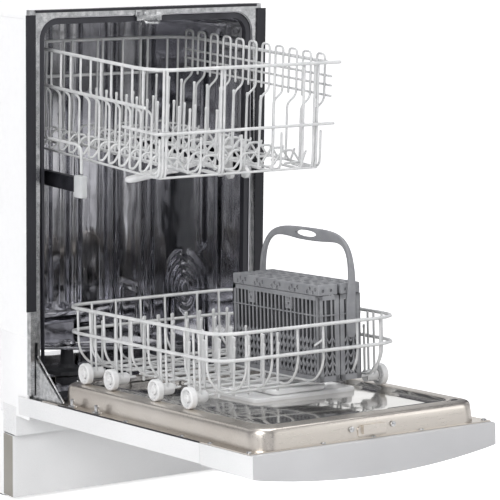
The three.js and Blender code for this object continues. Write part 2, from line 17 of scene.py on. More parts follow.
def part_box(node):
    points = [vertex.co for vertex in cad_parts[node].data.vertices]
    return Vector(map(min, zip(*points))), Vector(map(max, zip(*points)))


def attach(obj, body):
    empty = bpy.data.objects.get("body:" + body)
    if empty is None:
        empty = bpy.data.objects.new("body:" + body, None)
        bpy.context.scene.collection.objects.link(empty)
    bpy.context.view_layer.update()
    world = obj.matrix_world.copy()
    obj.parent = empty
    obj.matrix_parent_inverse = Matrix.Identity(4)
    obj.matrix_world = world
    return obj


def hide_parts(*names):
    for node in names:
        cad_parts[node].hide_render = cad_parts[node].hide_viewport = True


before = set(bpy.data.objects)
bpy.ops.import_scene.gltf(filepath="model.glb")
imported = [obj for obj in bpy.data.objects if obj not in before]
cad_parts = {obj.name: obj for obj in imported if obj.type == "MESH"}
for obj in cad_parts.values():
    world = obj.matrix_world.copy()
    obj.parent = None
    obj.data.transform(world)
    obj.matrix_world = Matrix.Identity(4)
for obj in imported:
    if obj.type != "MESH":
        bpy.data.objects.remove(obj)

LOG = logging.getLogger("dishwasher")
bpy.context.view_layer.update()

Point = tuple[float, float, float]
Spot = tuple[float, float]
Outline = Sequence[Spot]


# ---- places ----
@dataclass(frozen=True)
class Space:
    """Axes in millimetres, turned about X and placed in the row frame."""

    origin: Point
    turn: float = 0.0  # degrees

    def matrix(self) -> Matrix:
        """The step from these axes to metres in the row frame."""
        turned = Matrix.Rotation(math.radians(self.turn), 4, "X")
        return Matrix.Scale(0.001, 4) @ Matrix.Translation(self.origin) @ turned


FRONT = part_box("front_frame")[0].y * 1000  # the cabinet's front plane
DOOR_TILT = 3.7
BASKET_DROOP = 1.3
CABINET = Space((0.0, FRONT, 0.0))
DOOR = Space((0.0, FRONT, 189.0), -DOOR_TILT)  # -Y outwards along the door, Z above it
UPPER = Space((0.0, FRONT - 66.0, 595.0), BASKET_DROOP)


class Lie(Enum):
    """Which axis a slab's thickness runs along."""

    ACROSS = "across"
    DEPTH = "depth"
    UP = "up"


LIE_MATRIX = {
    Lie.ACROSS: Matrix(((0, 0, 1, 0), (1, 0, 0, 0), (0, 1, 0, 0), (0, 0, 0, 1))),
    Lie.DEPTH: Matrix(((1, 0, 0, 0), (0, 0, 1, 0), (0, 1, 0, 0), (0, 0, 0, 1))),
    Lie.UP: Matrix.Identity(4),
}


# ---- modelling bench ----
def deselect() -> None:
    """Leaves edit mode and deselects every object."""
    if bpy.context.object and bpy.context.object.mode != "OBJECT":
        bpy.ops.object.mode_set(mode="OBJECT")
    bpy.ops.object.select_all(action="DESELECT")


def pick(piece: bpy.types.Object) -> None:
    """Selects one piece alone and makes it active."""
    deselect()
    piece.select_set(True)
    bpy.context.view_layer.objects.active = piece


def open_up(piece: bpy.types.Object, kind: str = "FACE") -> None:
    """Enters edit mode on a piece with nothing selected."""
    pick(piece)
    bpy.ops.object.mode_set(mode="EDIT")
    bpy.ops.mesh.select_mode(type=kind)
    bpy.ops.mesh.select_all(action="DESELECT")


def face_out(piece: bpy.types.Object) -> None:
    """Merges doubles and turns every face outwards."""
    open_up(piece)
    bpy.ops.mesh.select_all(action="SELECT")
    bpy.ops.mesh.remove_doubles(threshold=0.0005)
    bpy.ops.mesh.delete_loose(use_verts=True, use_edges=True, use_faces=False)
    bpy.ops.mesh.select_all(action="SELECT")
    bpy.ops.mesh.normals_make_consistent(inside=False)
    bpy.ops.object.mode_set(mode="OBJECT")


def slab(name: str, outline: Outline, low: float, high: float, lie: Lie = Lie.UP) -> bpy.types.Object:
    """A closed slab: a filled ring set out on an outline and extruded.

    Args:
        name: The piece's name.
        outline: Corners in order, in the two axes that the slab doesn't run along.
        low: Where the slab starts along its thickness.
        high: Where it ends.
        lie: The axis of the thickness.

    Returns:
        The slab, in millimetres.
    """
    deselect()
    bpy.ops.mesh.primitive_circle_add(vertices=len(outline), radius=1, fill_type="NGON")
    piece = bpy.context.object
    piece.name = name
    for vertex, (a, b) in zip(piece.data.vertices, outline):
        vertex.co = (a, b, low)
    bpy.ops.object.mode_set(mode="EDIT")
    bpy.ops.mesh.select_all(action="SELECT")
    bpy.ops.mesh.extrude_region_move(TRANSFORM_OT_translate={"value": (0, 0, high - low)})
    bpy.ops.object.mode_set(mode="OBJECT")
    piece.data.transform(LIE_MATRIX[lie])
    face_out(piece)
    return piece


def box(name: str, low: Point, high: Point) -> bpy.types.Object:
    """A square-cornered block between two corners, ready to be shaped."""
    outline = [(low[0], low[1]), (high[0], low[1]), (high[0], high[1]), (low[0], high[1])]
    return slab(name, outline, low[2], high[2])


def turned(name: str, profile: Outline, steps: int = 32) -> bpy.types.Object:
    """Spins a closed profile of (radius, height) pairs about Z."""
    deselect()
    bpy.ops.mesh.primitive_circle_add(vertices=len(profile), radius=1, fill_type="NOTHING")
    piece = bpy.context.object
    piece.name = name
    for vertex, (radius, height) in zip(piece.data.vertices, profile):
        vertex.co = (radius, 0, height)
    bpy.ops.object.mode_set(mode="EDIT")
    bpy.ops.mesh.select_all(action="SELECT")
    bpy.ops.mesh.spin(steps=steps, angle=2 * math.pi, center=(0, 0, 0), axis=(0, 0, 1))
    bpy.ops.object.mode_set(mode="OBJECT")
    face_out(piece)
    return piece


def loft(name: str, rings: Sequence[Sequence[Point]]) -> bpy.types.Object:
    """A closed skin bridged over rings of equally many points, capped at both ends.

    Args:
        name: The piece's name.
        rings: The rings in order, each with its points in the same order.

    Returns:
        The piece.
    """
    count = len(rings[0])
    faces = [tuple(range(count)), tuple(range(count * (len(rings) - 1), count * len(rings)))]
    for i in range(len(rings) - 1):
        for k in range(count):
            a, b = i * count + k, i * count + (k + 1) % count
            faces.append((a, b, b + count, a + count))
    mesh = bpy.data.meshes.new(name)
    mesh.from_pydata([p for points in rings for p in points], [], faces)
    piece = bpy.data.objects.new(name, mesh)
    bpy.context.scene.collection.objects.link(piece)
    face_out(piece)
    return piece


def soften(piece: bpy.types.Object, width: float, segments: int = 2, angle: float = 30.0) -> bpy.types.Object:
    """Rounds the sharp edges of a piece and shades it smooth.

    Args:
        piece: The mesh piece.
        width: Width of the rounding in millimetres.
        segments: Steps in the rounding.
        angle: Edges sharper than this many degrees are rounded.

    Returns:
        The same piece.
    """
    pick(piece)
    rounding = piece.modifiers.new("edge", "BEVEL")
    rounding.width = width
    rounding.segments = segments
    rounding.limit_method = "ANGLE"
    rounding.angle_limit = math.radians(angle)
    rounding.harden_normals = False
    bpy.ops.object.modifier_apply(modifier=rounding.name)
    return smooth(piece)


def smooth(piece: bpy.types.Object, angle: float = 40.0) -> bpy.types.Object:
    """Shades smooth below an angle and returns the piece."""
    pick(piece)
    bpy.ops.object.shade_smooth_by_angle(angle=math.radians(angle))
    return piece


def carve(piece: bpy.types.Object, tools: Sequence[bpy.types.Object]) -> bpy.types.Object:
    """Cuts tools out of a piece and throws the tools away.

    Args:
        piece: What is cut.
        tools: Closed pieces, joined into one before the cut.

    Returns:
        The cut piece.
    """
    tool = weld("tool", tools)
    pick(piece)
    cutting = piece.modifiers.new("cut", "BOOLEAN")
    cutting.operation = "DIFFERENCE"
    cutting.solver = "EXACT"
    cutting.object = tool
    bpy.ops.object.modifier_apply(modifier=cutting.name)
    bpy.data.objects.remove(tool, do_unlink=True)
    return piece


def weld(name: str, pieces: Sequence[bpy.types.Object]) -> bpy.types.Object:
    """Joins pieces into one object with a name."""
    deselect()
    for piece in pieces:
        piece.select_set(True)
    bpy.context.view_layer.objects.active = pieces[0]
    if len(pieces) > 1:
        bpy.ops.object.join()
    pieces[0].name = name
    return pieces[0]


def copies(piece: bpy.types.Object, steps: Sequence[Point], name: str) -> bpy.types.Object:
    """Repeats a piece at offsets, each copy with its own mesh, and joins them.

    Args:
        piece: The pattern, which is used up.
        steps: Offsets in the piece's own axes.
        name: The name of the joined row.

    Returns:
        The joined row.
    """
    made = []
    for step in steps:
        twin = bpy.data.objects.new(name, piece.data.copy())
        bpy.context.scene.collection.objects.link(twin)
        twin.data.transform(Matrix.Translation(step))
        made.append(twin)
    bpy.data.objects.remove(piece, do_unlink=True)
    return weld(name, made)


def moved(piece: bpy.types.Object, step: Point, turn: float = 0.0, axis: str = "Z") -> bpy.types.Object:
    """Turns a piece's mesh by degrees about an axis, then shifts it."""
    piece.data.transform(Matrix.Translation(step) @ Matrix.Rotation(math.radians(turn), 4, axis))
    return piece


def ring(half: float, near: float, far: float, radius: float, steps: int = 6) -> list[Spot]:
    """A rounded rectangle on the door: half across, near and far along -Y."""
    return rounded(-half, half, -far, -near, radius, steps)


def rounded(x0: float, x1: float, y0: float, y1: float, radius: float, steps: int = 6) -> list[Spot]:
    """Corners of a rounded rectangle, anticlockwise."""
    made = []
    centres = [(x1 - radius, y0 + radius, -90), (x1 - radius, y1 - radius, 0),
               (x0 + radius, y1 - radius, 90), (x0 + radius, y0 + radius, 180)]
    for cx, cy, start in centres:
        for k in range(steps + 1):
            a = math.radians(start + 90 * k / steps)
            made.append((cx + radius * math.cos(a), cy + radius * math.sin(a)))
    return made


# ---- bent wire ----
@dataclass
class Wire:
    """One bent wire: corner points in millimetres, its radius and how tightly it is bent."""

    points: Sequence[Point]
    radius: float = 1.9
    bend: float = 9.0
    closed: bool = False
    beaded: bool = False  # the coating gathers in a bead at a free end

    def path(self) -> list[tuple[Vector, float]]:
        """Points along the bent wire, each with its radius."""
        corners = [Vector(p) for p in self.points]
        count = len(corners)
        line: list[Vector] = []
        for i, corner in enumerate(corners):
            if not self.closed and i in (0, count - 1):
                line.append(corner)
                continue
            before, after = corners[i - 1] - corner, corners[(i + 1) % count] - corner
            reach = min(self.bend, before.length * 0.48, after.length * 0.48)
            start, end = corner + before.normalized() * reach, corner + after.normalized() * reach
            for k in range(5):
                t = k / 4
                line.append(start * (1 - t) ** 2 + corner * 2 * t * (1 - t) + end * t * t)
        path = [(p, self.radius) for p in line]
        if self.closed:
            return path
        return self.capped(path)

    def capped(self, path: list[tuple[Vector, float]]) -> list[tuple[Vector, float]]:
        """Rounds the two ends of an open path."""
        swell = 1.22 if self.beaded else 1.0
        steps = [(0.0, 0.45), (0.35, 0.85 * swell), (1.0, swell), (2.4, swell), (3.4, 1.0)]

        def end(tip: Vector, inner: Vector) -> list[tuple[Vector, float]]:
            way = (inner - tip).normalized() * self.radius
            return [(tip + way * along, self.radius * size) for along, size in steps]

        head = end(path[0][0], path[1][0])
        tail = end(path[-1][0], path[-2][0])[::-1]
        return head + path[1:-1] + tail


def bend_wires(name: str, wires: Sequence[Wire]) -> bpy.types.Object:
    """Makes one mesh of many bent wires.

    Args:
        name: The piece's name.
        wires: The wires, in the axes that the piece is placed from.

    Returns:
        The piece in millimetres.
    """
    curve = bpy.data.curves.new(name, "CURVE")
    curve.dimensions = "3D"
    curve.bevel_depth = 1.0
    curve.bevel_resolution = 2
    curve.use_fill_caps = True
    for wire in wires:
        path = wire.path()
        line = curve.splines.new("POLY")
        line.points.add(len(path) - 1)
        for point, (place, radius) in zip(line.points, path):
            point.co = (*place, 1.0)
            point.radius = radius
        line.use_cyclic_u = wire.closed
    piece = bpy.data.objects.new(name, curve)
    bpy.context.scene.collection.objects.link(piece)
    pick(piece)
    bpy.ops.object.convert(target="MESH")
    piece = bpy.context.object
    face_out(piece)
    return smooth(piece, 60)


# ---- finishes ----
def linear(colour: str) -> tuple[float, float, float, float]:
    """An sRGB hex colour as linear values."""
    def one(value: float) -> float:
        return value / 12.92 if value <= 0.04045 else ((value + 0.055) / 1.055) ** 2.4
    parts = [int(colour[i:i + 2], 16) / 255 for i in (1, 3, 5)]
    return (*[one(p) for p in parts], 1.0)


def add_node(tree: bpy.types.NodeTree, kind: str, settings: dict | None = None,
             links: dict | None = None) -> bpy.types.Node:
    """Adds a node with its settings and its incoming links.

    Args:
        tree: The node tree.
        kind: The node's type.
        settings: Attributes by lower-case name and input values by their label or number.
        links: Inputs by label or number, each with (node, output).

    Returns:
        The node.
    """
    made = tree.nodes.new(kind)
    for key, value in (settings or {}).items():
        if isinstance(key, str) and hasattr(made, key):
            setattr(made, key, value)
        else:
            made.inputs[key].default_value = value
    for key, (source, output) in (links or {}).items():
        tree.links.new(source.outputs[output], made.inputs[key])
    return made


def ramp(tree: bpy.types.NodeTree, source: bpy.types.Node, output: str,
         stops: Sequence[tuple[float, str]]) -> bpy.types.Node:
    """A colour ramp of sRGB stops, driven by another node's output."""
    made = add_node(tree, "ShaderNodeValToRGB", links={"Fac": (source, output)})
    while len(made.color_ramp.elements) < len(stops):
        made.color_ramp.elements.new(1.0)
    for element, (place, colour) in zip(made.color_ramp.elements, stops):
        element.position = place
        element.color = linear(colour)
    return made


@dataclass(frozen=True)
class Finish:
    """What a surface is made of: its colours, gloss, and the size and depth of its texture in mm."""

    name: str
    slot: str
    colours: tuple[str, ...]
    metallic: float = 0.0
    roughness: tuple[float, float] = (0.35, 0.45)
    grain: float = 2.0  # size of the surface's texture
    stretch: Point = (1.0, 1.0, 1.0)  # how much finer the grain is along each axis
    depth: float = 0.02
    patch: float = 40.0  # size of the slow changes of colour
    wave: float = 0.0  # height of the sheet's slow waviness
    coat: float = 0.0
    sheen: float = 0.0
    level: float = 0.5

    def material(self) -> bpy.types.Material:
        """Makes the material once and returns it after that."""
        known = bpy.data.materials.get(self.name)
        if known:
            return known
        made = bpy.data.materials.new(self.name)
        made.use_nodes = True
        tree = made.node_tree
        tree.nodes.clear()
        place = add_node(tree, "ShaderNodeTexCoord")
        grained = add_node(tree, "ShaderNodeMapping", {"Scale": self.stretch}, {"Vector": (place, "Object")})
        patches = add_node(tree, "ShaderNodeTexNoise", {"Scale": 1000 / self.patch, "Detail": 3.0},
                           {"Vector": (grained, "Vector")})
        fine = add_node(tree, "ShaderNodeTexNoise", {"Scale": 1000 / self.grain, "Detail": 4.0},
                        {"Vector": (grained, "Vector")})
        last = len(self.colours) - 1
        stops = [(0.3 + 0.4 * i / max(last, 1), colour) for i, colour in enumerate(self.colours)]
        tint = ramp(tree, patches, "Fac", stops)
        smoothest, roughest = self.roughness
        gloss = add_node(tree, "ShaderNodeMapRange",
                         {"From Min": 0.3, "From Max": 0.7, "To Min": smoothest, "To Max": roughest},
                         {"Value": (fine, "Fac")})
        bump = add_node(tree, "ShaderNodeBump", {"Strength": 1.0, "Distance": self.depth / 1000},
                        {"Height": (fine, "Fac")})
        if self.wave:
            slow = add_node(tree, "ShaderNodeTexNoise", {"Scale": 1000 / 70.0, "Detail": 1.0},
                            {"Vector": (place, "Object")})
            bump = add_node(tree, "ShaderNodeBump", {"Strength": 1.0, "Distance": self.wave / 1000},
                            {"Height": (slow, "Fac"), "Normal": (bump, "Normal")})
        shader = add_node(tree, "ShaderNodeBsdfPrincipled",
                          {"Metallic": self.metallic, "Coat Weight": self.coat, "Sheen Weight": self.sheen,
                           "Specular IOR Level": self.level},
                          {"Base Color": (tint, "Color"), "Roughness": (gloss, "Result"),
                           "Normal": (bump, "Normal")})
        add_node(tree, "ShaderNodeOutputMaterial", links={"Surface": (shader, "BSDF")})
        return made


# Cold-rolled stainless sheet: nearly a mirror, with slow waves and faint upright rolling lines.
TUB_STEEL = Finish("bright_rolled_stainless", "stainless", ("#b4b4ba", "#cacace", "#e0e0e0"), metallic=1.0,
                   roughness=(0.03, 0.13), grain=3.0, stretch=(1.0, 1.0, 0.06), patch=90.0, wave=1.6)
# Fine-brushed stainless of the door's inner pan: warm, satin, brushed across the door.
LINER_STEEL = Finish("satin_stainless", "stainless", ("#cdc5bc", "#d8d1c8", "#e2dcd4"), metallic=1.0,
                     roughness=(0.26, 0.34), grain=1.2, stretch=(0.05, 1.0, 1.0), depth=0.003, patch=160.0,
                     wave=0.6)
# The door's sheet left bright, for the pan's sunk middle.
BRIGHT_STEEL = Finish("bright_pan_stainless", "stainless", ("#c4c1bd", "#d2d0cc", "#dddbd8"), metallic=1.0,
                      roughness=(0.05, 0.12), grain=1.6, stretch=(0.05, 1.0, 1.0), depth=0.004, patch=160.0,
                      wave=0.8)
# Hot-dip galvanised steel: cool grey with a soft spangle.
ZINC = Finish("galvanised_steel", "galvanised", ("#a4a5a6", "#bfc0c1", "#d8d8d8"), metallic=1.0,
              roughness=(0.2, 0.38), grain=1.6, patch=9.0)
# The same zinc on the runners, dulled and darkened by grease.
RAIL_STEEL = Finish("greased_steel", "galvanised", ("#26262d", "#3a3a42", "#4b4b52"), metallic=1.0,
                    roughness=(0.3, 0.5), patch=30.0)
# Baked white enamel on sheet steel: glossy, with a faint orange peel.
ENAMEL = Finish("baked_enamel", "enamel", ("#e6e7e7", "#ebebeb", "#efefef"), roughness=(0.24, 0.34),
                grain=1.4, depth=0.008, patch=160.0, coat=0.25)
# Moulded ABS of the console: satin, painted a touch greyer than the enamel beside it as painted shade of its
# front face, which is less lit than the door's side.
CONSOLE_ABS = Finish("moulded_abs", "console_plastic", ("#c0c0c1", "#c5c5c6", "#cacacb"),
                     roughness=(0.34, 0.44), grain=0.9, depth=0.01, patch=140.0)
# Nylon-dipped steel wire: soft white gloss, slightly lumpy where the dip ran.
DIPPED_WIRE = Finish("nylon_dipped_wire", "coated_wire", ("#cdcece", "#d7d8d8", "#e0e0e0"),
                     roughness=(0.26, 0.4), grain=4.0, depth=0.05, patch=18.0, coat=0.15)
# Injection-moulded nylon: white, satin, with a fine skin.
NYLON = Finish("moulded_nylon", "nylon", ("#dfe0e0", "#e7e7e7", "#eeeeee"), roughness=(0.36, 0.5),
               grain=1.0, depth=0.012, patch=25.0)
# The same nylon polished, of the dispenser, and painted whiter than the other nylon: painted light that keeps
# it white in the upper basket's shade.
WHITENED_GLOSS_NYLON = Finish("polished_nylon_painted_whiter", "nylon", ("#f8f8f8", "#fbfbfb", "#fefefe"), roughness=(0.14, 0.22),
                     grain=1.0, depth=0.004, patch=25.0, coat=0.3)
# Warm grey, fairly matt, on the kick panel's folded returns.
RETURN_GREY = Finish("warm_grey_return", "enamel", ("#98948c", "#9e9a92", "#a5a199"), roughness=(0.5, 0.6), grain=1.2,
                depth=0.01, patch=60.0)
# Grey polypropylene of the cutlery basket: matt, faintly clouded.
GREY_PP = Finish("grey_polypropylene", "grey_plastic", ("#85868a", "#8e8f92", "#97989b"),
                 roughness=(0.44, 0.6), grain=1.1, patch=22.0)
# The same polypropylene painted darker as painted shade, where the cutlery basket's middle stands in its own
# shade; the spray hub, filter and pump wear the same dark grey.
DARK_PP = Finish("shaded_polypropylene", "grey_plastic", ("#46474a", "#505154", "#595a5d"),
                 roughness=(0.44, 0.6), grain=1.1, patch=22.0)
# Pale grey polypropylene of the small fittings: satin, faintly clouded.
PALE_PP = Finish("pale_polypropylene", "pale_plastic", ("#b9bbbd", "#c4c6c7", "#cdcecf"),
                 roughness=(0.4, 0.55), grain=1.1, depth=0.015, patch=25.0)
# Extruded black rubber: dull with fine lines along its length. The same black laid on the pan's vent slot is
# painted shade.
RUBBER = Finish("extruded_rubber", "rubber", ("#1b1b20", "#212127", "#28282e"), roughness=(0.5, 0.7),
                grain=1.0, stretch=(1.0, 1.0, 0.1), depth=0.03, patch=30.0)
# Dark grey thermoplastic seal round the opening, near black: partly its own dark colour, partly painted shade
# of the opening's inner edge.
SEAL = Finish("moulded_seal", "rubber", ("#26262c", "#2e2e34", "#37373d"), roughness=(0.4, 0.55), grain=1.0,
              stretch=(1.0, 1.0, 0.1), patch=30.0)
# Needled polyester felt: matt white fibre mat.
FELT = Finish("needled_felt", "felt", ("#fcfcfc", "#fefefe", "#ffffff"), roughness=(0.85, 0.98), grain=1.8,
              depth=0.06, patch=12.0, sheen=0.4)
# Sand-cast iron of the counterweight: dull and coarse.
CAST_BALLAST = Finish("cast_iron", "ballast", ("#2b2b2d", "#343436", "#3d3d3f"), metallic=0.3,
                      roughness=(0.6, 0.8), grain=1.5, depth=0.15, patch=10.0)


def dress(node: str, finish: Finish) -> None:
    """Gives a carried-over CAD node its finish."""
    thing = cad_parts[node]
    thing.data.materials.clear()
    thing.data.materials.append(finish.material())
    LOG.info("%s keeps its shape in %s", node, finish.name)


def fit(piece: bpy.types.Object, space: Space, finish: Finish, body: str, *nodes: str) -> bpy.types.Object:
    """Puts a piece in its place, dresses it and hangs it on a body.

    Args:
        piece: The piece in millimetres.
        space: The axes it was made in.
        finish: Its finish.
        body: The CAD body it rides on.
        nodes: CAD nodes that it stands for.

    Returns:
        The finished piece.
    """
    piece.data.transform(space.matrix())
    piece.data.update()
    piece.data.materials.clear()
    piece.data.materials.append(finish.material())
    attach(piece, body)
    if nodes:
        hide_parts(*nodes)
    LOG.info("%s rides on %s", piece.name, body)
    return piece


# ---- sub-assemblies ----
@dataclass
class Tub:
    """The pressed stainless tub with its embossed walls, gasket and sump parts."""

    half: float = 205.0
    bottom: float = 150.0
    top: float = 820.0
    corner: float = 34.0
    near: float = 2.0
    far: float = 560.0
    sheet: float = 1.5
    pitch: float = 5.0
    boss: tuple[float, float] = (208.0, 304.0)  # pressed ring on each side wall: depth and height
    boss_radii: tuple[float, ...] = (22.0, 36.0, 52.0, 68.0)
    swage_depth: float = 3.5
    side_ribs: tuple[Spot, ...] = ((100, 330), (150, 400), (330, 210), (365, 210), (470, 210))  # depth, foot
    rib_top: float = 770.0

    def swage(self, distance: float, half_width: float) -> float:
        """The height of a pressed ridge at a distance from its middle line."""
        if abs(distance) >= half_width:
            return 0.0
        return self.swage_depth * 0.5 * (1 + math.cos(math.pi * distance / half_width))

    def side_relief(self, y: float, z: float) -> float:
        """How far the side wall stands into the tub at a depth and height."""
        by, bz = self.boss
        relief = 0.0
        for radius in self.boss_radii:
            if z >= bz or radius < 30:
                away = math.hypot(y - by, z - bz) - radius
            else:
                away = abs(y - by) - radius if radius > 40 else math.hypot(y - by, z - bz) - radius
            relief = max(relief, self.swage(away, 7.0))
        for rib, low in self.side_ribs:
            tip = max(low - z, z - self.rib_top, 0.0)
            relief = max(relief, self.swage(math.hypot(y - rib, tip), 10.0))
        panel = max(abs(y - 411) - 31, abs(z - 235) - 48)
        relief = max(relief, self.swage(panel, 7.0))
        relief = max(relief, self.swage(z - 205, 8.0))
        return relief

    def back_relief(self, x: float, z: float) -> float:
        """How far the back wall stands into the tub."""
        relief = self.swage(z - 205, 8.0)
        for rib in (-176, -150, -112, -84, -40, 40, 84, 112, 150, 176):
            low, high = (230, 780) if abs(rib) > 100 else (230, 560)
            tip = max(low - z, z - high, 0.0)
            relief = max(relief, self.swage(math.hypot(x - rib, tip), 11.0))
        frame_away = max(abs(x) - 70, abs(z - 640) - 52)
        relief = max(relief, self.swage(frame_away, 8.0))
        return relief

    def section(self) -> list[tuple[float, float, float, float]]:
        """Stations round the arch: across, up, and the direction into the tub."""
        stations = []
        rise = self.top - self.corner - self.bottom
        steps = round(rise / self.pitch)
        for k in range(steps + 1):
            stations.append((-self.half, self.bottom + rise * k / steps, 1.0, 0.0))
        for k in range(1, 8):
            a = math.pi - math.pi / 2 * k / 8
            stations.append((-self.half + self.corner + self.corner * math.cos(a),
                             self.top - self.corner + self.corner * math.sin(a), -math.cos(a), -math.sin(a)))
        width = 2 * (self.half - self.corner)
        for k in range(13):
            stations.append((-self.half + self.corner + width * k / 12, self.top, 0.0, -1.0))
        left = [s for s in stations if s[1] < self.top]
        return stations + [(-x, z, -nx, nz) for x, z, nx, nz in reversed(left)]

    def wrapper(self) -> bpy.types.Object:
        """The side walls and ceiling: one grid wrapped round the arch, then given its thickness."""
        stations = self.section()
        rows = round((self.far - self.near) / self.pitch)
        deselect()
        bpy.ops.mesh.primitive_grid_add(x_subdivisions=len(stations) - 1, y_subdivisions=rows, size=2)
        piece = bpy.context.object
        columns = len(stations)
        for i, vertex in enumerate(piece.data.vertices):
            x, z, nx, nz = stations[i % columns]
            y = self.near + (self.far - self.near) * (i // columns) / rows
            lift = self.side_relief(y, z) * min(1.0, (y - self.near) / 12) if abs(x) == self.half else 0.0
            vertex.co = (x + nx * lift, y, z + nz * lift)
        pick(piece)
        wall = piece.modifiers.new("sheet", "SOLIDIFY")
        wall.thickness = self.sheet
        wall.offset = -1.0
        first = piece.data.polygons[0]
        if first.normal.x < 0:
            open_up(piece)
            bpy.ops.mesh.select_all(action="SELECT")
            bpy.ops.mesh.flip_normals()
            bpy.ops.object.mode_set(mode="OBJECT")
        bpy.ops.object.modifier_apply(modifier=wall.name)
        piece.name = "tub_side_walls"
        return smooth(piece, 50)

    def back(self) -> bpy.types.Object:
        """The back wall, a grid pressed with upright swages."""
        columns, rows = 84, 134
        deselect()
        bpy.ops.mesh.primitive_grid_add(x_subdivisions=columns - 1, y_subdivisions=rows - 1, size=2)
        piece = bpy.context.object
        piece.name = "tub_back_wall"
        y = self.far + 0.3
        for i, vertex in enumerate(piece.data.vertices):
            x = (-1 + 2 * (i % columns) / (columns - 1)) * (self.half + 1.2)
            z = self.bottom + (self.top - self.bottom) * (i // columns) / (rows - 1)
            edge = min(1.0, max(0.0, (self.half - 8 - abs(x)) / 8))
            vertex.co = (x, y - self.back_relief(x, z) * edge, z)
        pick(piece)
        wall = piece.modifiers.new("sheet", "SOLIDIFY")
        wall.thickness = self.sheet
        wall.offset = -1.0
        if piece.data.polygons[0].normal.y > 0:
            open_up(piece)
            bpy.ops.mesh.select_all(action="SELECT")
            bpy.ops.mesh.flip_normals()
            bpy.ops.object.mode_set(mode="OBJECT")
        bpy.ops.object.modifier_apply(modifier=wall.name)
        return smooth(piece, 50)

    def build(self) -> None:
        """Makes and places the tub's pieces."""
        fit(self.wrapper(), CABINET, TUB_STEEL, "cabinet", "tub_wrapper")
        fit(self.back(), CABINET, TUB_STEEL, "cabinet", "tub_back")
        dress("tub_floor", TUB_STEEL)
        # The gasket's near-black is partly painted shade of the opening's inner edge.
        dress("door_gasket", SEAL)
        dress("rear_water_duct", PALE_PP)
        dress("spray_hub", DARK_PP)
        dress("filter_cylinder", DARK_PP)


@dataclass
class FrontFrame:
    """The galvanised frame round the opening, with its edge trims, striker and side pads."""

    half: float = 214.0
    top: float = 834.0

    def build(self) -> None:
        """Makes and places the frame's pieces."""
        for node, finish in (("front_frame", ZINC), ("edge_strip_left", RUBBER), ("edge_strip_right", RUBBER),
                             ("side_pad_left", FELT), ("side_pad_right", FELT), ("door_striker", ZINC)):
            dress(node, finish)
        trim = box("top_edge_trim", (-self.half, -3.0, self.top - 4.5), (self.half, -0.3, self.top))
        fit(soften(trim, 0.8), CABINET, RUBBER, "cabinet")
        roof = [soften(box("roof_felt", (-222, 13, 822), (222, 560, self.top - 0.5)), 3.0, 3)]
        for side in (-1, 1):
            a, b = sorted((side * 208.4, side * 221.6))
            roof.append(box("roof_felt", (a, 13, 818.3), (b, 559, 826)))
        fit(weld("roof_felt", roof), CABINET, FELT, "cabinet")
        plate = soften(box("striker_plate", (-24, -2.4, 811), (24, -0.4, 826)), 0.6)
        bow = Wire([(-15, -1, 814), (-13, -15, 808), (13, -15, 808), (15, -1, 814)], 2.3, 6)
        hook = bend_wires("striker_hook", [bow])
        fit(weld("striker_hook", [plate, hook]), CABINET, ZINC, "cabinet")
        flaps = []
        for side in (-1, 1):
            a, b = sorted((side * 218.6, side * 221.6))
            flaps.append(soften(box("side_flaps", (a, 13, 150), (b, 111.5, 289.6)), 1.0))
            flaps.append(soften(box("side_flaps", (a, 101.4, 3), (b, 556, 149.4)), 0.3))
            flaps.append(soften(box("side_flaps", (a, 112.2, 149.6), (b, 556, 171.6)), 0.3))
        fit(weld("side_flaps", flaps), CABINET, FELT, "cabinet")
        screw = turned("frame_screws", [(0, 0), (3.6, 0), (3.4, 1.6), (1.2, 2.0), (0, 2.0)], 16)
        moved(screw, (0, 0, 0), 90, "X")
        places = [(-210, 0, 210), (-210, 0, 248), (-210, 0, 320), (210, 0, 250), (210, 0, 330)]
        fit(smooth(copies(screw, places, "frame_screws")), CABINET, ZINC, "cabinet")


@dataclass
class Basket:
    """Measures that both wire baskets share."""

    half: float = 169.0
    rim_wire: float = 2.9
    wire: float = 2.0


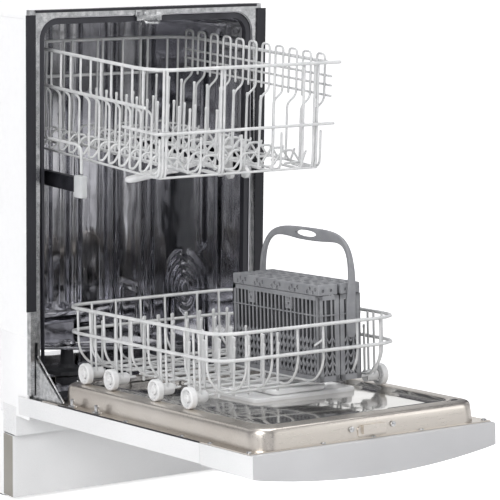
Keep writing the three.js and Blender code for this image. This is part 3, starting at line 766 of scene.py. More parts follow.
@dataclass
class UpperBasket(Basket):
    """The upper basket: plain left side, raised hairpins on the right, waved floor."""

    reach: float = 228.0
    rim: float = 168.0
    middle: float = 108.0
    step_in: float = 17.0
    left_pitch: float = 33.0
    hairpins: int = 11
    hairpin_pitch: float = 40.6
    hairpin_half: float = 11.5
    hairpin_top: float = 181.0

    def rims(self) -> list[Wire]:
        """The heavy wires round the basket, with their free ends at the front right."""
        h, r, top = self.half, self.reach, self.rim
        made = [Wire([(h + 16, -r, top + 1), (-h, -r, top), (-h, r, top), (h, r, top), (h, -r + 6, top)],
                     self.rim_wire, 56)]
        waist = [(-h, -r + 20, self.middle), (-h, r, self.middle), (h, r, self.middle)]
        made.append(Wire(waist, self.rim_wire, 26))
        front = [(-h + 11, -r + 110, 68), (-h + 11, -r, 68), (h + 6, -r, 70)]
        made.append(Wire(front, self.rim_wire * 0.9, 20))
        for height in (146, 131, 114):
            made.append(Wire([(h, r, height), (h, -r + 2, height)], self.wire))
        return made

    def left(self) -> list[Wire]:
        """Side wires that step in below the middle rim and run on as the waved floor."""
        inner = self.half - self.rim_wire - self.wire
        made = []
        for k in range(13):
            d = -190 + self.left_pitch * k
            foot = inner - self.step_in
            path = [(-inner, d, self.rim), (-inner, d, self.middle + 1),
                    (-foot, d, self.middle - 13), (-foot, d, 0)]
            path += self.wave(-foot, foot, d)
            path += [(foot, d, 22)]
            made.append(Wire(path, self.wire, 6))
        return made

    @staticmethod
    def wave(start: float, end: float, d: float) -> list[Point]:
        """A floor wire that rises and falls across the basket."""
        crests = 4
        span = (end - start) / crests
        made = []
        for k in range(crests):
            x = start + span * k
            crest = ((0.12, 0), (0.36, 24), (0.64, 24), (0.88, 0))
            made += [(x + span * share, d, height) for share, height in crest]
        return made

    def right(self) -> list[Wire]:
        """Raised hairpins, each with one leg that steps in and runs down to the floor."""
        inner = self.half - self.rim_wire - self.wire
        made = []
        for k in range(self.hairpins):
            d = 205 - self.hairpin_pitch * k
            back, front = d + self.hairpin_half, d - self.hairpin_half
            low = self.middle - 2
            foot = inner - self.step_in
            path = [(inner, back, low), (inner, back, self.hairpin_top), (inner, front, self.hairpin_top),
                    (inner, front, low), (foot, front, low - 14), (foot, front, 0), (foot - 30, front, 0)]
            made.append(Wire(path, self.wire, 7.5))
        return made

    def floor(self) -> list[Wire]:
        """Lengthways floor wires, front uprights and the back's cross wires."""
        r = self.reach - self.rim_wire - self.wire
        made = []
        for x in (-152, -76, 0, 76, 152):
            made.append(Wire([(x, -r, 60), (x, -r, -2), (x, r, -2), (x, r, self.rim)], self.wire, 16))
        for x in (-146, -140, -40, -34, 60, 117, 138, 144):
            made.append(Wire([(x, -r, self.rim), (x, -r, -3), (x, -r + 60, -3)], self.wire * 1.1, 14))
        for x in (-110, -60, -10, 40, 90, 130):
            made.append(Wire([(x, r, self.rim), (x, r, 0), (x, r - 40, 0)], self.wire, 14))
        made.append(Wire([(-150, -r + 4, -2), (150, -r + 4, -2)], self.wire))
        made.append(Wire([(-150, r - 4, -2), (150, r - 4, -2)], self.wire))
        return made

    def tines(self) -> list[Wire]:
        """Upright tines in rows along the basket."""
        made = []
        rows = ((-85, -200, 33, 10, 103), (-22, -180, 33, 9, 96), (48, -200, self.hairpin_pitch, 10, 118))
        for x, start, pitch, count, top in rows:
            for k in range(count):
                d = start + pitch * k
                made.append(Wire([(x, d, -2), (x + 2, d, top)], self.wire, beaded=True))
            made.append(Wire([(x, start - 8, 2), (x, start + pitch * count - 20, 2)], self.wire))
        return made

    def build(self) -> None:
        """Makes and places the basket's wirework."""
        wires = self.rims() + self.left() + self.right() + self.floor() + self.tines()
        panels = [f"upper_basket_{part}" for part in ("floor", "left", "right", "front", "back")]
        fit(bend_wires("upper_basket_wirework", wires), UPPER, DIPPED_WIRE, "upper_basket", *panels)


@dataclass
class Runners:
    """The upper basket's runners, their end caps, hangers and rollers."""

    inner: float = 179.8
    depth: float = 10.0
    level: float = 545.0
    height: float = 24.0
    out: dict[str, float] = field(default_factory=lambda: {"left": 90.0, "right": 20.0})

    def cap(self, side: int, word: str) -> None:
        """A moulded stop on the front end of one runner."""
        near, far = sorted((side * (self.inner - 1.5), side * (self.inner + self.depth + 1.5)))
        front = -self.out[word]
        reach = 20 if side < 0 else 5
        low, high = self.level - 8, self.level + self.height + 4
        piece = box(f"runner_stop_{word}", (near, front - reach, low), (far, front + 4, high))
        fit(soften(piece, 2.2, 3), CABINET, PALE_PP, f"upper_rail_{word}")

    def hangers(self) -> None:
        """Bent hangers that carry the basket on its runners."""
        x = self.inner + 3
        left = [Wire([(-x, 60, 622), (-x, -80, 622), (-x, -97, 616), (-x, -97, 575)], 2.6, 10)]
        x = self.inner - 4.4
        right = [Wire([(x, 60, 604), (x, -27, 604), (x, -27, 556)], 2.6, 10)]
        fit(bend_wires("basket_hangers", left + right), CABINET, DIPPED_WIRE, "upper_basket")
        roller = turned("basket_rollers", [(2, -4), (8, -4), (9, -3), (9, 3), (8, 4), (2, 4)], 24)
        moved(roller, (0, 0, 0), 90, "Y")
        row = copies(roller, [(x - 1.4, -34, 549), (x - 1.4, 14, 541), (x - 1.4, 46, 541)], "basket_rollers")
        fit(smooth(row), CABINET, NYLON, "upper_basket")
        stem = soften(box("roller_carrier", (x - 3, -36, 540), (x + 2, -22, 566)), 1.5)
        rear = soften(box("roller_carrier", (x - 3, 10, 544), (x + 2, 50, 601)), 1.5)
        fit(weld("roller_carriers", [stem, rear]), CABINET, NYLON, "upper_basket")

    def build(self) -> None:
        """Makes and places the runners' pieces."""
        for side, word in ((-1, "left"), (1, "right")):
            dress(f"upper_rail_{word}", RAIL_STEEL)
            self.cap(side, word)
        self.hangers()


@dataclass
class SprayArm:
    """A two-bladed spray arm with a domed hub and slotted jets."""

    name: str
    node: str
    body: str
    reach: float
    root: float
    tip: float
    thick: float
    turn: float
    place: Point
    space: Space
    finish: Finish

    def build(self) -> None:
        """Makes and places the arm."""
        half = [(self.reach, 0.0), (self.reach - 3, self.tip * 0.75), (self.reach - 14, self.tip + 3),
                (self.reach * 0.55, (self.root + self.tip) / 2 + 2), (26.0, self.root)]
        upper = half + [(-x, y) for x, y in reversed(half[1:])] + [(-self.reach, 0.0)]
        outline = upper + [(x, -y) for x, y in reversed(upper[1:-1])]
        blade = soften(slab(self.name, outline, 0, self.thick), self.thick * 0.42, 3)
        hub = turned("hub", [(0, 0), (19, 0), (19, self.thick), (14, self.thick + 3), (14, self.thick + 7),
                              (0, self.thick + 7)], 32)
        jets = []
        for k in range(1, 6):
            for side in (-1, 1):
                x = side * self.reach * k / 6.4
                jets.append(slab("jet", rounded(x - 5, x + 5, side * 3 - 1.2, side * 3 + 1.2, 1.1, 3),
                                 self.thick - 1.5, self.thick + 2))
        carve(blade, jets)
        arm = weld(self.name, [smooth(blade), soften(hub, 1.2)])
        moved(arm, self.place, self.turn)
        fit(arm, self.space, self.finish, self.body, self.node)


@dataclass
class Door:
    """The open door: enamelled outer panel, pressed pan, bowed console and hinge arms."""

    half: float = 224.0
    pan_half: float = 205.0
    near: float = 66.0
    far: float = 662.0
    ledge: float = 33.9
    rim: float = 30.0
    floor: float = 27.0
    console: tuple[float, float] = (530.0, 675.0)
    edge: float = 35.0
    bow: float = 20.0
    slot_x: float = 213.7
    flange_top: float = 1.8

    def rings(self, levels: Sequence[tuple[float, float, float]]) -> list[list[Point]]:
        """Rounded outlines of the pan, one for each inset, corner radius and height."""
        made = []
        for inset, radius, height in levels:
            outline = ring(self.pan_half - inset, self.near + inset, self.far - inset, radius, 10)
            made.append([(x, y, height) for x, y in outline])
        return made

    def pan(self) -> bpy.types.Object:
        """The pressed pan's draft walls and ledge, with every fold rounded."""
        top, rim = self.ledge, self.rim
        levels = ((0, 34, 0.6), (1.0, 34, 18), (1.8, 33.5, top - 8), (2.6, 33, top - 4.2),
                  (4.6, 32, top - 1.4), (7.6, 31, top), (rim - 7, 28, top), (rim - 4.6, 27, top + 0.9),
                  (rim - 1.8, 26, top + 1.2), (rim + 0.8, 25, top), (rim + 2.0, 24, top - 2),
                  (rim + 2.0, 24, self.floor - 5))
        return smooth(loft("door_pan", self.rings(levels)), 60)

    def sunk_middle(self) -> bpy.types.Object:
        """The pan's polished middle, sunk a little below the ledge, with a shallow raised panel."""
        top, rim, low = self.ledge + 0.5, self.rim, self.floor
        levels = ((rim + 0.4, 24, low - 3), (rim + 0.4, 24, top - 1.0), (rim + 1.4, 24, top - 0.1),
                  (rim + 3.2, 23, low + 4), (rim + 6, 22, low + 1), (rim + 9, 20, low), (rim + 22, 18, low),
                  (rim + 25, 16, low + 1.6), (rim + 28, 15, low + 2.2))
        return smooth(loft("pan_field", self.rings(levels)), 60)

    def flange(self) -> bpy.types.Object:
        """The sheet flange round the pan, slotted for the hinge arms."""
        edge = self.half - 2
        piece = box("door_flange", (-edge, -self.far - 3, 0.3), (edge, -self.near + 30, 1.8))
        slots = [box("tool", (x - 3, -110, -5), (x + 3, 60, 5)) for x in (-self.slot_x, self.slot_x)]
        return smooth(carve(piece, slots))

    def fixings(self) -> None:
        """Screws, clips and tabs along the flange and the pan's front."""
        screw = turned("pan_screws", [(0, 0), (4.2, 0), (4.0, 1.4), (2.6, 2.2), (1.0, 1.6), (0, 1.6)], 16)
        spots = [(-219, -305), (-219, -473), (-219, -553), (-216, -655), (-90, -663),
                 (0, -664), (90, -663), (216, -655), (219, -305), (219, -473)]
        places = [(x, y, self.flange_top) for x, y in spots]
        fit(smooth(copies(screw, places, "pan_screws")), DOOR, ZINC, "door")
        face = turned("latch_screws", [(0, 0), (4.6, 0), (4.2, 1.8), (1.6, 2.4), (0, 1.4)], 20)
        moved(face, (0, 0, 0), 90, "X")
        row = copies(face, [(-38, -self.far, 17), (38, -self.far, 17)], "latch_screws")
        fit(smooth(row), DOOR, ZINC, "door")
        clip = soften(box("flange_clips", (-4, -9, 0), (4, 9, 3)), 0.8)
        tongue = soften(box("tongue", (-2.5, -4, 2), (2.5, 4, 14)), 0.8)
        stands = [(-216, y, self.flange_top) for y in (-129, -208)]
        clips = copies(weld("flange_clips", [clip, tongue]), stands, "flange_clips")
        fit(clips, DOOR, ZINC, "door")
        plate = slab("latch_surround", rounded(-27, 27, 3, 20, 5), -self.far - 1.2, -self.far + 1, Lie.DEPTH)
        fit(soften(plate, 0.5), DOOR, LINER_STEEL, "door")
        lines = [soften(box("seal_line", (min(a, b), -528, 0.05), (max(a, b), -92, 2.2)), 0.3)
                 for a, b in ((-222.2, -223.8), (222.2, 223.8))]
        fit(weld("door_seal_lines", lines), DOOR, RUBBER, "door")
        # The vent slot is a thin black slab laid on the ledge, not a cut: its black is painted shade of the
        # slot's opening.
        vent_shade = slab("vent_slot_shade", rounded(54, 185, -633, -624, 4), self.ledge - 2, self.ledge + 0.4)
        fit(soften(vent_shade, 0.2), DOOR, RUBBER, "door")

    def fascia(self) -> None:
        """The bowed console, hollowed for the buttons, with a cap on each end."""
        near, far = self.console
        bow = [(0.0 + x, -self.edge - self.bow * (1 - (x / self.half) ** 2)) for x in
               [self.half - 2 * self.half * k / 24 for k in range(25)]]
        outline = [(-self.half + 2, 0.0), (self.half - 2, 0.0)]
        outline += [(max(-self.half + 2, min(self.half - 2, x)), z) for x, z in bow]
        shell = slab("console_shell", outline, -far, -near - 0.3, Lie.DEPTH)
        room = box("tool", (-self.half + 26, -self.far + 12, -self.edge + 7), (self.half - 26, -near - 14, 1))
        bore = [(0, 0), (7.4, 0), (7.4, 60), (0, 60)]
        wells = [moved(turned("tool", bore, 24), (x, -600, -80)) for x in (-70, -40)]
        carve(shell, [room] + wells)
        fit(soften(shell, 1.6, 3, 40), DOOR, CONSOLE_ABS, "door", "control_console")
        ends = []
        for side in (-1, 1):
            a, b = sorted((side * (self.half - 2), side * self.half))
            profile = [(-far, 0.0), (-near, 0.0), (-near, -self.edge + 3), (-far, -self.edge)]
            ends.append(soften(slab("console_end", profile, a, b, Lie.ACROSS), 0.8))
        fit(weld("console_ends", ends), DOOR, ENAMEL, "door")
        for node in ("power_button", "start_button"):
            dress(node, PALE_PP)

    def arms(self) -> None:
        """Folded edges on the hinge gussets."""
        folds = []
        slope = [(-4, 72), (-6.2, 70.2), (-90, 2.6), (-88, 5.4)]
        for side in (-1, 1):
            a, b = sorted((side * 209.0, side * 212.1))
            folds.append(soften(slab("fold", slope, a, b, Lie.ACROSS), 0.3))
        fit(weld("gusset_folds", folds), DOOR, ZINC, "door")
        for word in ("left", "right"):
            dress(f"hinge_arm_{word}", ZINC)

    def build(self) -> None:
        """Makes and places the door's pieces."""
        pan = weld("door_pan", [self.pan(), self.flange()])
        fit(pan, DOOR, LINER_STEEL, "door", "door_liner")
        fit(self.sunk_middle(), DOOR, BRIGHT_STEEL, "door")
        dress("door_outer_panel", ENAMEL)
        dress("door_latch", LINER_STEEL)
        self.fixings()
        self.fascia()
        self.arms()
        skirt = soften(slab("foot_seal", ring(200, 8, self.near + 4, 8), 2.0, 9.0), 2.0, 3)
        fit(skirt, DOOR, RUBBER, "door")


@dataclass
class Dispenser:
    """The detergent and rinse-aid dispenser on the pan's floor."""

    x: tuple[float, float] = (-57.0, 138.0)
    s: tuple[float, float] = (222.0, 430.0)
    top: float = 35.0
    lid_x: tuple[float, float] = (-16.0, 87.0)
    lid_s: tuple[float, float] = (335.0, 422.0)
    cap: tuple[float, float] = (112.0, 262.0)

    def build(self) -> None:
        """Makes and places the dispenser's pieces."""
        left, right = self.lid_x
        near, far = self.lid_s
        body = slab("dispenser_housing", rounded(*self.x, -self.s[1], -self.s[0], 14, 8), 27.6, self.top)
        well = slab("tool", rounded(left + 9, right - 9, -far + 8, -near - 8, 6), self.top - 4, self.top + 15)
        fit(soften(carve(body, [well]), 2.0, 3), DOOR, WHITENED_GLOSS_NYLON, "door", "dispenser_body")
        cover = rounded(left, right, -far, -near, 14, 8)
        flap = slab("detergent_flap", cover, self.top + 0.3, self.top + 9.5)
        fit(soften(flap, 3.6, 4), DOOR, WHITENED_GLOSS_NYLON, "detergent_lid", "detergent_lid")
        cap = turned("rinse_cap", [(0, 0), (19, 0), (19, 4), (17.5, 6), (9, 6), (8, 7), (0, 7)], 40)
        bar = box("grip", (-14, -3, 5.5), (14, 3, 11))
        cap = weld("rinse_cap", [smooth(cap), soften(bar, 1.4)])
        moved(cap, (self.cap[0], -self.cap[1], self.top + 0.3), 35)
        fit(cap, DOOR, PALE_PP, "rinse_aid_cap", "rinse_aid_cap")
        ridges = [soften(slab("ridge", rounded(a, b, c, d, 2.5), self.top - 0.5, self.top + 1.4), 0.6)
                  for a, b, c, d in ((-48, -30, -328, -240), (-22, 84, -318, -312), (-22, 84, -302, -296))]
        fit(weld("dispenser_ridges", ridges), DOOR, WHITENED_GLOSS_NYLON, "door")


@dataclass
class LowerBasket(Basket):
    """The lower basket, its tines and the brackets of its wheels."""

    near: float = 23.0
    far: float = 507.0
    rim: float = 154.0
    middle: float = 113.0
    base: float = 57.0
    front_bend: float = 58.0
    axle: float = 51.5
    stations: tuple[float, ...] = (112.0, 195.0, 334.0, 433.0)

    def hoop(self, n: float) -> Wire:
        """One heavy wire all round the basket."""
        h = self.half
        return Wire([(-h, -self.near, n), (-h, -self.far, n), (h, -self.far, n), (h, -self.near, n)],
                    self.rim_wire, self.front_bend * 0.8, closed=True)

    def cross(self) -> list[Wire]:
        """U-shaped wires from rim to rim across and along the basket."""
        inner = self.half - self.rim_wire - self.wire
        made = []
        for s in (62, 105, 148, 236, 288, 398, 462):
            half = [(inner - 22, -s, self.base), (inner, -s, 84), (inner, -s, self.rim)]
            made.append(Wire([(-x, y, n) for x, y, n in reversed(half)] + half, self.wire, 16))
        near, far = self.near + self.rim_wire + self.wire, self.far - self.rim_wire - self.wire
        for x in (-118, -72, -24, 24, 88, 132):
            path = [(x, -near, self.rim), (x, -near, 84), (x, -near - 20, self.base + 3),
                    (x, -far + 26, self.base + 3), (x, -far, 90), (x, -far, self.rim)]
            made.append(Wire(path, self.wire, 22))
        return made

    def legs(self) -> list[Wire]:
        """Pairs of wires that drop from the rim to each wheel's bracket."""
        inner = self.half - self.rim_wire - self.wire
        made = []
        for side in (-1, 1):
            for s in self.stations:
                for shift in (-9, 7):
                    x = side * inner
                    made.append(Wire([(x, -s - shift, self.rim), (x, -s - shift, self.axle + 2),
                                      (x - side * 26, -s - shift, self.axle + 2)], self.wire, 6))
        return made

    def tines(self) -> list[Wire]:
        """Rows of upright tines; the cutlery basket stands in the gap on the right."""
        made = []
        start, pitch = -138, 27
        for s, top, count in ((92, 134, 11), (134, 140, 11), (184, 136, 11), (226, 140, 11), (272, 130, 6),
                              (318, 136, 6), (364, 128, 6), (410, 134, 6), (452, 126, 5)):
            for k in range(count):
                x = start + pitch * k
                made.append(Wire([(x, -s, self.base - 8), (x + 2, -s - 2, top)], self.wire, beaded=True))
            end = start + pitch * count - 18
            made.append(Wire([(start - 8, -s, self.base + 4), (end, -s, self.base + 4)], self.wire))
        for s in range(290, 480, 32):
            made.append(Wire([(138, -s, self.base - 4), (138, -s, 138)], self.wire, beaded=True))
        hook = [(24, -self.far + 6, 142), (30, -self.far + 14, 128), (18, -self.far + 22, 118)]
        made.append(Wire(hook, self.wire, 6))
        return made

    def brackets(self) -> bpy.types.Object:
        """Cylindrical wheel carriers on the inner side of every wheel."""
        boss = turned("wheel_carriers", [(0, 0), (9.5, 0), (9.5, 20), (8.2, 22), (0, 22)], 28)
        moved(boss, (0, 0, 0), 90, "Y")
        places = [(x, -s, self.axle) for x in (-172, 150) for s in self.stations]
        return smooth(copies(boss, places, "wheel_carriers"))

    def build(self) -> None:
        """Makes and places the basket's pieces."""
        wires = [self.hoop(self.rim), self.hoop(self.middle)] + self.cross() + self.legs() + self.tines()
        panels = [f"lower_basket_{part}" for part in ("floor", "left", "right", "front", "back")]
        fit(bend_wires("lower_basket_wirework", wires), DOOR, DIPPED_WIRE, "lower_basket", *panels)
        fit(self.brackets(), DOOR, NYLON, "lower_basket")


@dataclass
class Wheels:
    """Eight moulded wheels: a deep tyre, a sunk web with holes and a hub."""

    radius: float = 17.3
    half: float = 5.5
    middle: float = 180.0
    axle: float = 51.5
    stations: tuple[float, ...] = (112.0, 195.0, 334.0, 433.0)

    def wheel(self) -> bpy.types.Object:
        """One wheel about Z, its outer face up."""
        r, h = self.radius, self.half
        inner_face = [(3.4, -h), (8, -h), (8, -h + 3), (r - 3, -h + 3), (r - 2.4, -h), (r - 0.8, -h)]
        tread = [(r, -h + 1), (r, h - 1.4), (r - 1.2, h), (r - 3.6, h)]
        web = [(r - 4.6, h - 6.0), (6.6, h - 6.4), (6.0, h - 1.0), (4.6, h - 0.4), (3.4, h)]
        wheel = turned("wheel", inner_face + tread + web, 40)
        holes = [moved(turned("tool", [(0, -20), (2.4, -20), (2.4, 20), (0, 20)], 12),
                       (9.8 * math.cos(a), 9.8 * math.sin(a), 0)) for a in (0.4, 2.5, 4.6)]
        carve(wheel, holes)
        pin = turned("pin", [(0, -h + 1), (3.0, -h + 1), (3.0, h + 0.2), (2.2, h + 1), (0, h + 1)], 20)
        return smooth(weld("wheel", [wheel, pin]), 35)

    def build(self) -> None:
        """Copies the wheel to its eight stations."""
        pattern = self.wheel()
        for side, word in ((-1, "left"), (1, "right")):
            for i, s in enumerate(self.stations):
                twin = bpy.data.objects.new(f"wheel_{word}_{i + 1}", pattern.data.copy())
                bpy.context.scene.collection.objects.link(twin)
                moved(twin, (0, 0, 0), side * 90, "Y")
                moved(twin, (side * self.middle, -s, self.axle))
                fit(twin, DOOR, NYLON, f"lower_wheel_{word}_{i + 1}", f"lower_wheel_{word}_{i + 1}")
        bpy.data.objects.remove(pattern, do_unlink=True)


@dataclass
class CutleryBasket:
    """The moulded cutlery basket: slatted walls with a chevron lattice, pierced lids and a bail."""

    x: tuple[float, float] = (25.0, 104.0)
    s: tuple[float, float] = (243.0, 489.0)
    base: float = 59.5
    rim: float = 194.7
    top: float = 212.0
    wall: float = 2.4
    pitch: float = 11.2
    slat: float = 3.2
    post: float = 8.0
    bail: float = 85.0

    def lattice(self, length: float) -> list[bpy.types.Object]:
        """One wall along X from 0, its outer face towards -Y: bands, slats, rib and chevrons."""
        parts = [box("band", (0, 0, self.base), (length, self.wall, self.base + 9)),
                 box("band", (0, 0, self.rim - 7), (length, self.wall, self.rim)),
                 box("post", (0, 0, self.base), (self.post, self.wall, self.rim)),
                 box("post", (length - self.post, 0, self.base), (length, self.wall, self.rim)),
                 box("rib", (0, -0.8, 163), (length, 0.6, 165))]
        span = length - 2 * self.post
        count = max(2, round(span / self.pitch))
        step = span / count
        side = self.slat / 2
        slat = soften(box("slat", (-side, 0.2, self.base + 6), (side, self.wall - 0.2, self.rim - 5)), 0.5)
        parts.append(copies(slat, [(self.post + step * (k + 0.5), 0, 0) for k in range(count)], "slats"))
        zigzag = []
        rows = 5
        for row in range(rows):
            low = 70 + row * 12.5
            line = [(self.post + step * k / 2, 0.6, low + 9 * (k % 2)) for k in range(2 * count + 1)]
            zigzag.append(Wire(line, 1.35, 0.6))
        parts.append(bend_wires("chevrons", zigzag))
        for at in (0.22, 0.66):
            if length < 120:
                continue
            middle = length * at
            low, high = self.rim - 26, self.rim - 5
            face = [(middle - 9, low), (middle + 9, low), (middle + 9, high), (middle - 9, high)]
            plate = slab("clip", face, -0.6, self.wall, Lie.DEPTH)
            holes = []
            corners = ((middle - 7, self.rim - 12), (middle + 1, self.rim - 12), (middle - 3, self.rim - 20))
            for a, b in corners:
                holes.append(slab("tool", rounded(a, a + 5, b, b + 4, 1.2, 3), -3, 6, Lie.DEPTH))
            parts.append(soften(carve(plate, holes), 0.4))
        return parts

    def body(self) -> bpy.types.Object:
        """The four walls, the divider with two dark end screens of painted shade, and the grid floor."""
        x0, x1 = self.x
        near, far = self.s
        long, short = far - near, (x1 - x0) / 2 - 1
        left = moved(weld("left", self.lattice(long)), (x0, -near, 0), -90)
        right = moved(weld("right", self.lattice(long)), (x1, -far, 0), 90)
        ends = []
        for k in (0, 1):
            start = x0 + k * (short + 2)
            ends.append(moved(weld("front", self.lattice(short)), (start, -far, 0)))
            ends.append(moved(weld("back", self.lattice(short)), (start + short, -near, 0), 180))
        middle = (x0 + x1) / 2
        divider = box("divider", (middle - 1.5, -far + 3, self.base), (middle + 1.5, -near - 3, self.rim - 4))
        soften(divider, 0.5)
        floor = box("floor", (x0 + 1, -far + 1, self.base), (x1 - 1, -near - 1, self.base + 2.5))
        holes = []
        for i in range(6):
            for j in range(18):
                cx, cy = x0 + 8 + i * 12.6, -far + 14 + j * 12.8
                holes.append(box("tool", (cx - 4, cy - 4, self.base - 3), (cx + 4, cy + 4, self.base + 6)))
        # The end screens are dark sheets behind the end lattices, standing for the shade there; they and the
        # divider wear the shade-painted polypropylene.
        shade_screens = [box("shade_screen", (x0 + 3.5, y, self.base + 2.4), (x1 - 3.5, y + 1.2, self.rim - 8))
                   for y in (-far + 4, -near - 5.2)]
        fit(weld("cutlery_divider_and_shade_screens", [divider, *shade_screens]), DOOR, DARK_PP, "cutlery")
        return weld("cutlery_lattice", [left, right, *ends, smooth(carve(floor, holes))])

    def lid(self, x0: float, x1: float, outer: int) -> bpy.types.Object:
        """One pierced lid: a shallow shell with oval slots on top and round holes in its skirt.

        Args:
            x0: Left edge.
            x1: Right edge.
            outer: -1 or 1, the side whose skirt shows its holes.

        Returns:
            The lid.
        """
        near, far = self.s
        shell = soften(box("lid", (x0, -far, self.rim + 0.3), (x1, -near, self.top)), 1.8, 3)
        tools = [box("tool", (x0 + 2.4, -far + 2.4, self.rim - 2), (x1 - 2.4, -near - 2.4, self.top - 2.6))]
        middle = (x0 + x1) / 2
        for row in range(9):
            y = -near - 17 - row * 26.4
            for k in range(3):
                for lane in (-1, 1):
                    cx, cy = middle + lane * 8 - 3 + 3 * k, y + 7.6 * (k - 1)
                    oval = rounded(cx - 5.6, cx + 5.6, cy - 3.0, cy + 3.0, 2.8, 3)
                    tools.append(slab("tool", oval, self.top - 6, self.top + 4))
        edge = x0 if outer < 0 else x1
        for group in range(5):
            for k, (along, up) in enumerate(((0, 6.0), (7.5, 11.0), (15, 5.0), (22.5, 10.0))):
                y = -near - 16 - group * 50 - along
                hole = turned("tool", [(0, -6), (3.5, -6), (3.5, 6), (0, 6)], 12)
                tools.append(moved(moved(hole, (0, 0, 0), 90, "Y"), (edge, y, self.rim + up)))
        for along in (9, 24):
            hole = turned("tool", [(0, -6), (2.6, -6), (2.6, 6), (0, 6)], 12)
            tools.append(moved(moved(hole, (0, 0, 0), 90, "X"), (x0 + along, -far, self.rim + 8)))
        return smooth(carve(shell, tools), 30)

    def handle(self) -> bpy.types.Object:
        """The bail: legs that lie flat on the basket's ends twist into an upright grip with an oval hole."""
        # Each section: distance out, height, width across X and width in the upright plane.
        back = ((240.5, 176, 12, 3.2), (240.6, 200, 12, 3.2), (242.0, 222, 11, 5), (246.5, 245, 9, 7.5))
        shoulder = ((257, 263, 7, 9), (274, 276.5, 6, 10.5), (297, 281.5, 5.5, 14))
        grip = ((322, 282, 5.5, 17.5), (345, 281, 5.5, 20.5), (372, 280.6, 5.5, 21.5),
                (400, 280.4, 5.5, 21.5), (428, 280.6, 5.5, 20), (452, 280, 5.5, 16))
        bend = ((470, 275.5, 6, 12), (484, 265, 7, 10), (491.5, 248, 9, 8.5))
        front = ((494.5, 226, 12, 6.5), (493.6, 204, 15, 4.5), (491.6, 186, 17, 3.4), (491.2, 166, 18, 3.2),
                 (491.2, 146, 18, 3.2), (491.2, 124, 17, 3.2))
        path = (*back, *shoulder, *grip, *bend, *front)
        corners = []
        sides = 12
        for k in range(sides):
            a = 2 * math.pi * (k + 0.5) / sides
            c, d = math.cos(a), math.sin(a)
            corners.append((math.copysign(math.sqrt(abs(c)), c), math.copysign(math.sqrt(abs(d)), d)))
        sections = []
        for i, (s, n, across, deep) in enumerate(path):
            before, after = path[max(i - 1, 0)], path[min(i + 1, len(path) - 1)]
            ds, dn = after[0] - before[0], after[1] - before[1]
            size = math.hypot(ds, dn)
            ns, nn = -dn / size, ds / size
            sections.append([(self.bail + c * across / 2, -(s + ns * d * deep / 2), n + nn * d * deep / 2)
                             for c, d in corners])
        piece = loft("bail", sections)
        pick(piece)
        finer = piece.modifiers.new("flow", "SUBSURF")
        finer.levels = finer.render_levels = 2
        bpy.ops.object.modifier_apply(modifier=finer.name)
        middle = 372
        turns = [t * math.pi / 16 for t in range(32)]
        oval = [(-middle + 30 * math.cos(t), 281 + 5.4 * math.sin(t)) for t in turns]
        hole = slab("tool", oval, self.bail - 20, self.bail + 20, Lie.ACROSS)
        return smooth(carve(piece, [hole]), 40)

    def build(self) -> None:
        """Makes and places the basket's pieces."""
        middle = sum(self.x) / 2
        fit(self.body(), DOOR, GREY_PP, "cutlery", "cutlery_basket")
        left = self.lid(self.x[0], middle - 2.8, -1)
        left.name = "lid_left"
        fit(left, DOOR, GREY_PP, "cutlery_lid_left", "cutlery_lid_left")
        right = self.lid(middle + 2.8, self.x[1], 1)
        right.name = "lid_right"
        fit(right, DOOR, GREY_PP, "cutlery", "cutlery_lid_right")
        fit(self.handle(), DOOR, GREY_PP, "cutlery", "cutlery_handle")


@dataclass
class Base:
    """The base ring with its feet, the two kick panels, the pump and the ballast."""

    def build(self) -> None:
        """Dresses the base's CAD pieces."""
        dress("base_frame", ZINC)
        for end in ("front", "back"):
            for side in ("left", "right"):
                dress(f"levelling_foot_{end}_{side}", RUBBER)
        dress("toe_kick_panel", ENAMEL)
        dress("access_panel", ENAMEL)
        edges = [soften(box("edge", (min(a, b), 68.5, 6), (max(a, b), 100.5, 112)), 0.2)
                 for a, b in ((-222.6, -222.04), (222.04, 222.6))]
        fit(weld("kick_return_edges", edges), CABINET, RETURN_GREY, "cabinet")
        dress("circulation_pump", DARK_PP)
        dress("counterweight", CAST_BALLAST)
        dress("upper_arm_feed", PALE_PP)


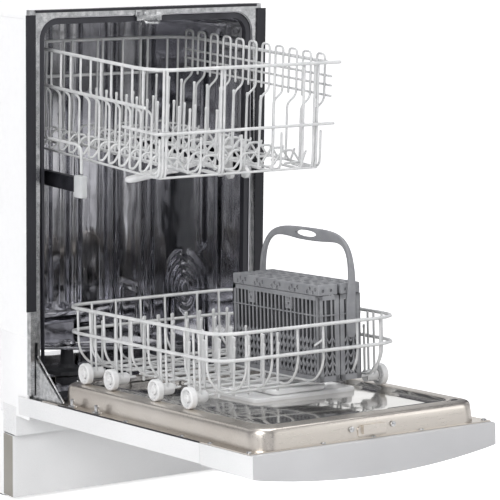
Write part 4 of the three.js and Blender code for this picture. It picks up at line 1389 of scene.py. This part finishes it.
@dataclass
class Studio:
    """A white sweep, soft lights and the camera."""

    eye: Point = (-2.24302, FRONT / 1000 - 3.76200, 1.13031)
    yaw: float = 33.17
    pitch: float = 9.53
    roll: float = 0.69
    lens: float = 188.45
    shift: tuple[float, float] = (-0.0079, 0.0345)

    def camera(self) -> None:
        """Sets the camera."""
        data = bpy.data.cameras.new("camera")
        data.lens = self.lens
        data.sensor_width = 36.0
        data.shift_x, data.shift_y = self.shift
        data.clip_end = 100.0
        camera = bpy.data.objects.new("camera", data)
        yaw, pitch, roll = (math.radians(a) for a in (self.yaw, self.pitch, self.roll))
        ahead = Vector((math.sin(yaw) * math.cos(pitch), math.cos(yaw) * math.cos(pitch), -math.sin(pitch)))
        right = Vector((math.cos(yaw), -math.sin(yaw), 0))
        up = right.cross(ahead)
        right, up = right * math.cos(roll) + up * math.sin(roll), up * math.cos(roll) - right * math.sin(roll)
        turn = Matrix((right, up, -ahead)).transposed().to_4x4()
        camera.matrix_world = Matrix.Translation(self.eye) @ turn
        bpy.context.scene.collection.objects.link(camera)
        bpy.context.scene.camera = camera

    def light(self, name: str, place: Point, aim: Point, size: tuple[float, float], power: float,
              colour: str = "#ffffff") -> None:
        """One soft box.

        Args:
            name: The light's name.
            place: Where it hangs, in metres.
            aim: The point it faces.
            size: Its width and height in metres.
            power: Its power in watts.
            colour: Its tint.
        """
        data = bpy.data.lights.new(name, "AREA")
        data.shape = "RECTANGLE"
        data.size, data.size_y = size
        data.energy = power
        data.color = linear(colour)[:3]
        lamp = bpy.data.objects.new(name, data)
        lamp.location = place
        lamp.rotation_euler = (Vector(aim) - Vector(place)).to_track_quat("-Z", "Y").to_euler()
        bpy.context.scene.collection.objects.link(lamp)

    def world(self) -> None:
        """A white room for the eye, and a dimmer one with dark sides for the reflections."""
        world = bpy.data.worlds.new("studio")
        bpy.context.scene.world = world
        world.use_nodes = True
        tree = world.node_tree
        tree.nodes.clear()
        seen = add_node(tree, "ShaderNodeLightPath")
        place = add_node(tree, "ShaderNodeTexCoord")
        flat = add_node(tree, "ShaderNodeMapping", {"Scale": (7.0, 7.0, 0.5)},
                        {"Vector": (place, "Generated")})
        bands = add_node(tree, "ShaderNodeTexNoise", {"Scale": 1.0, "Detail": 2.0},
                         {"Vector": (flat, "Vector")})
        dim = ramp(tree, bands, "Fac", [(0.42, "#1a1a24"), (0.5, "#7e7e88"), (0.57, "#ffffff")])
        room = add_node(tree, "ShaderNodeBackground", {"Strength": 1.05}, {"Color": (dim, "Color")})
        white = add_node(tree, "ShaderNodeBackground", {"Color": (1, 1, 1, 1), "Strength": 1.0})
        both = add_node(tree, "ShaderNodeMixShader",
                        links={0: (seen, "Is Camera Ray"), 1: (room, "Background"), 2: (white, "Background")})
        add_node(tree, "ShaderNodeOutputWorld", links={"Surface": (both, "Shader")})

    def sweep(self) -> None:
        """The pale floor, which looks white but lights the underside only softly."""
        deselect()
        bpy.ops.mesh.primitive_plane_add(size=30)
        floor = bpy.context.object
        floor.name = "studio_floor"
        made = bpy.data.materials.new("white_paper_sweep")
        made.use_nodes = True
        tree = made.node_tree
        tree.nodes.clear()
        place = add_node(tree, "ShaderNodeTexCoord")
        fibre = add_node(tree, "ShaderNodeTexNoise", {"Scale": 400.0, "Detail": 3.0},
                         {"Vector": (place, "Object")})
        tint = ramp(tree, fibre, "Fac", [(0.3, "#f4f4f4"), (0.7, "#f8f8f8")])
        seen = add_node(tree, "ShaderNodeLightPath")
        glow = add_node(tree, "ShaderNodeMath", {"operation": "MULTIPLY_ADD", 1: 0.7, 2: 0.12},
                        {0: (seen, "Is Camera Ray")})
        paper = add_node(tree, "ShaderNodeBsdfPrincipled", {"Roughness": 0.9},
                         {"Base Color": (tint, "Color"), "Emission Color": (tint, "Color"),
                          "Emission Strength": (glow, "Value")})
        add_node(tree, "ShaderNodeOutputMaterial", links={"Surface": (paper, "BSDF")})
        floor.data.materials.append(made)

    def build(self) -> None:
        """Makes the whole studio."""
        self.camera()
        self.world()
        self.sweep()
        aim = (0.0, 0.0, 0.35)
        self.light("key", (-3.0, -2.2, 2.2), aim, (1.8, 1.8), 74)
        self.light("fill", (2.2, -2.6, 1.6), aim, (1.2, 1.8), 9)
        self.light("top", (0.2, -0.4, 3.0), aim, (2.2, 2.2), 34)


def main() -> None:
    """Builds the whole dishwasher in order."""
    logging.basicConfig(level=logging.INFO, format="%(name)s: %(message)s")
    bpy.context.scene.view_settings.view_transform = "Standard"
    low_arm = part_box("lower_spray_arm")
    arm_low = (low_arm[0] + low_arm[1]) * 500
    arm_low.z = low_arm[0].z * 1000
    Studio().build()
    Tub().build()
    FrontFrame().build()
    UpperBasket().build()
    Runners().build()
    SprayArm("upper_arm", "upper_spray_arm", "upper_arm", reach=145, root=15, tip=8, thick=8.0, turn=32.0,
             place=(0, 0, -31.0), space=UPPER, finish=NYLON).build()
    SprayArm("lower_arm", "lower_spray_arm", "lower_arm", reach=168, root=19, tip=9, thick=7.0, turn=150.0,
             place=(0, arm_low.y - FRONT, arm_low.z), space=CABINET, finish=TUB_STEEL).build()
    Door().build()
    Dispenser().build()
    LowerBasket().build()
    Wheels().build()
    CutleryBasket().build()
    Base().build()


if __name__ == "__main__":
    main()
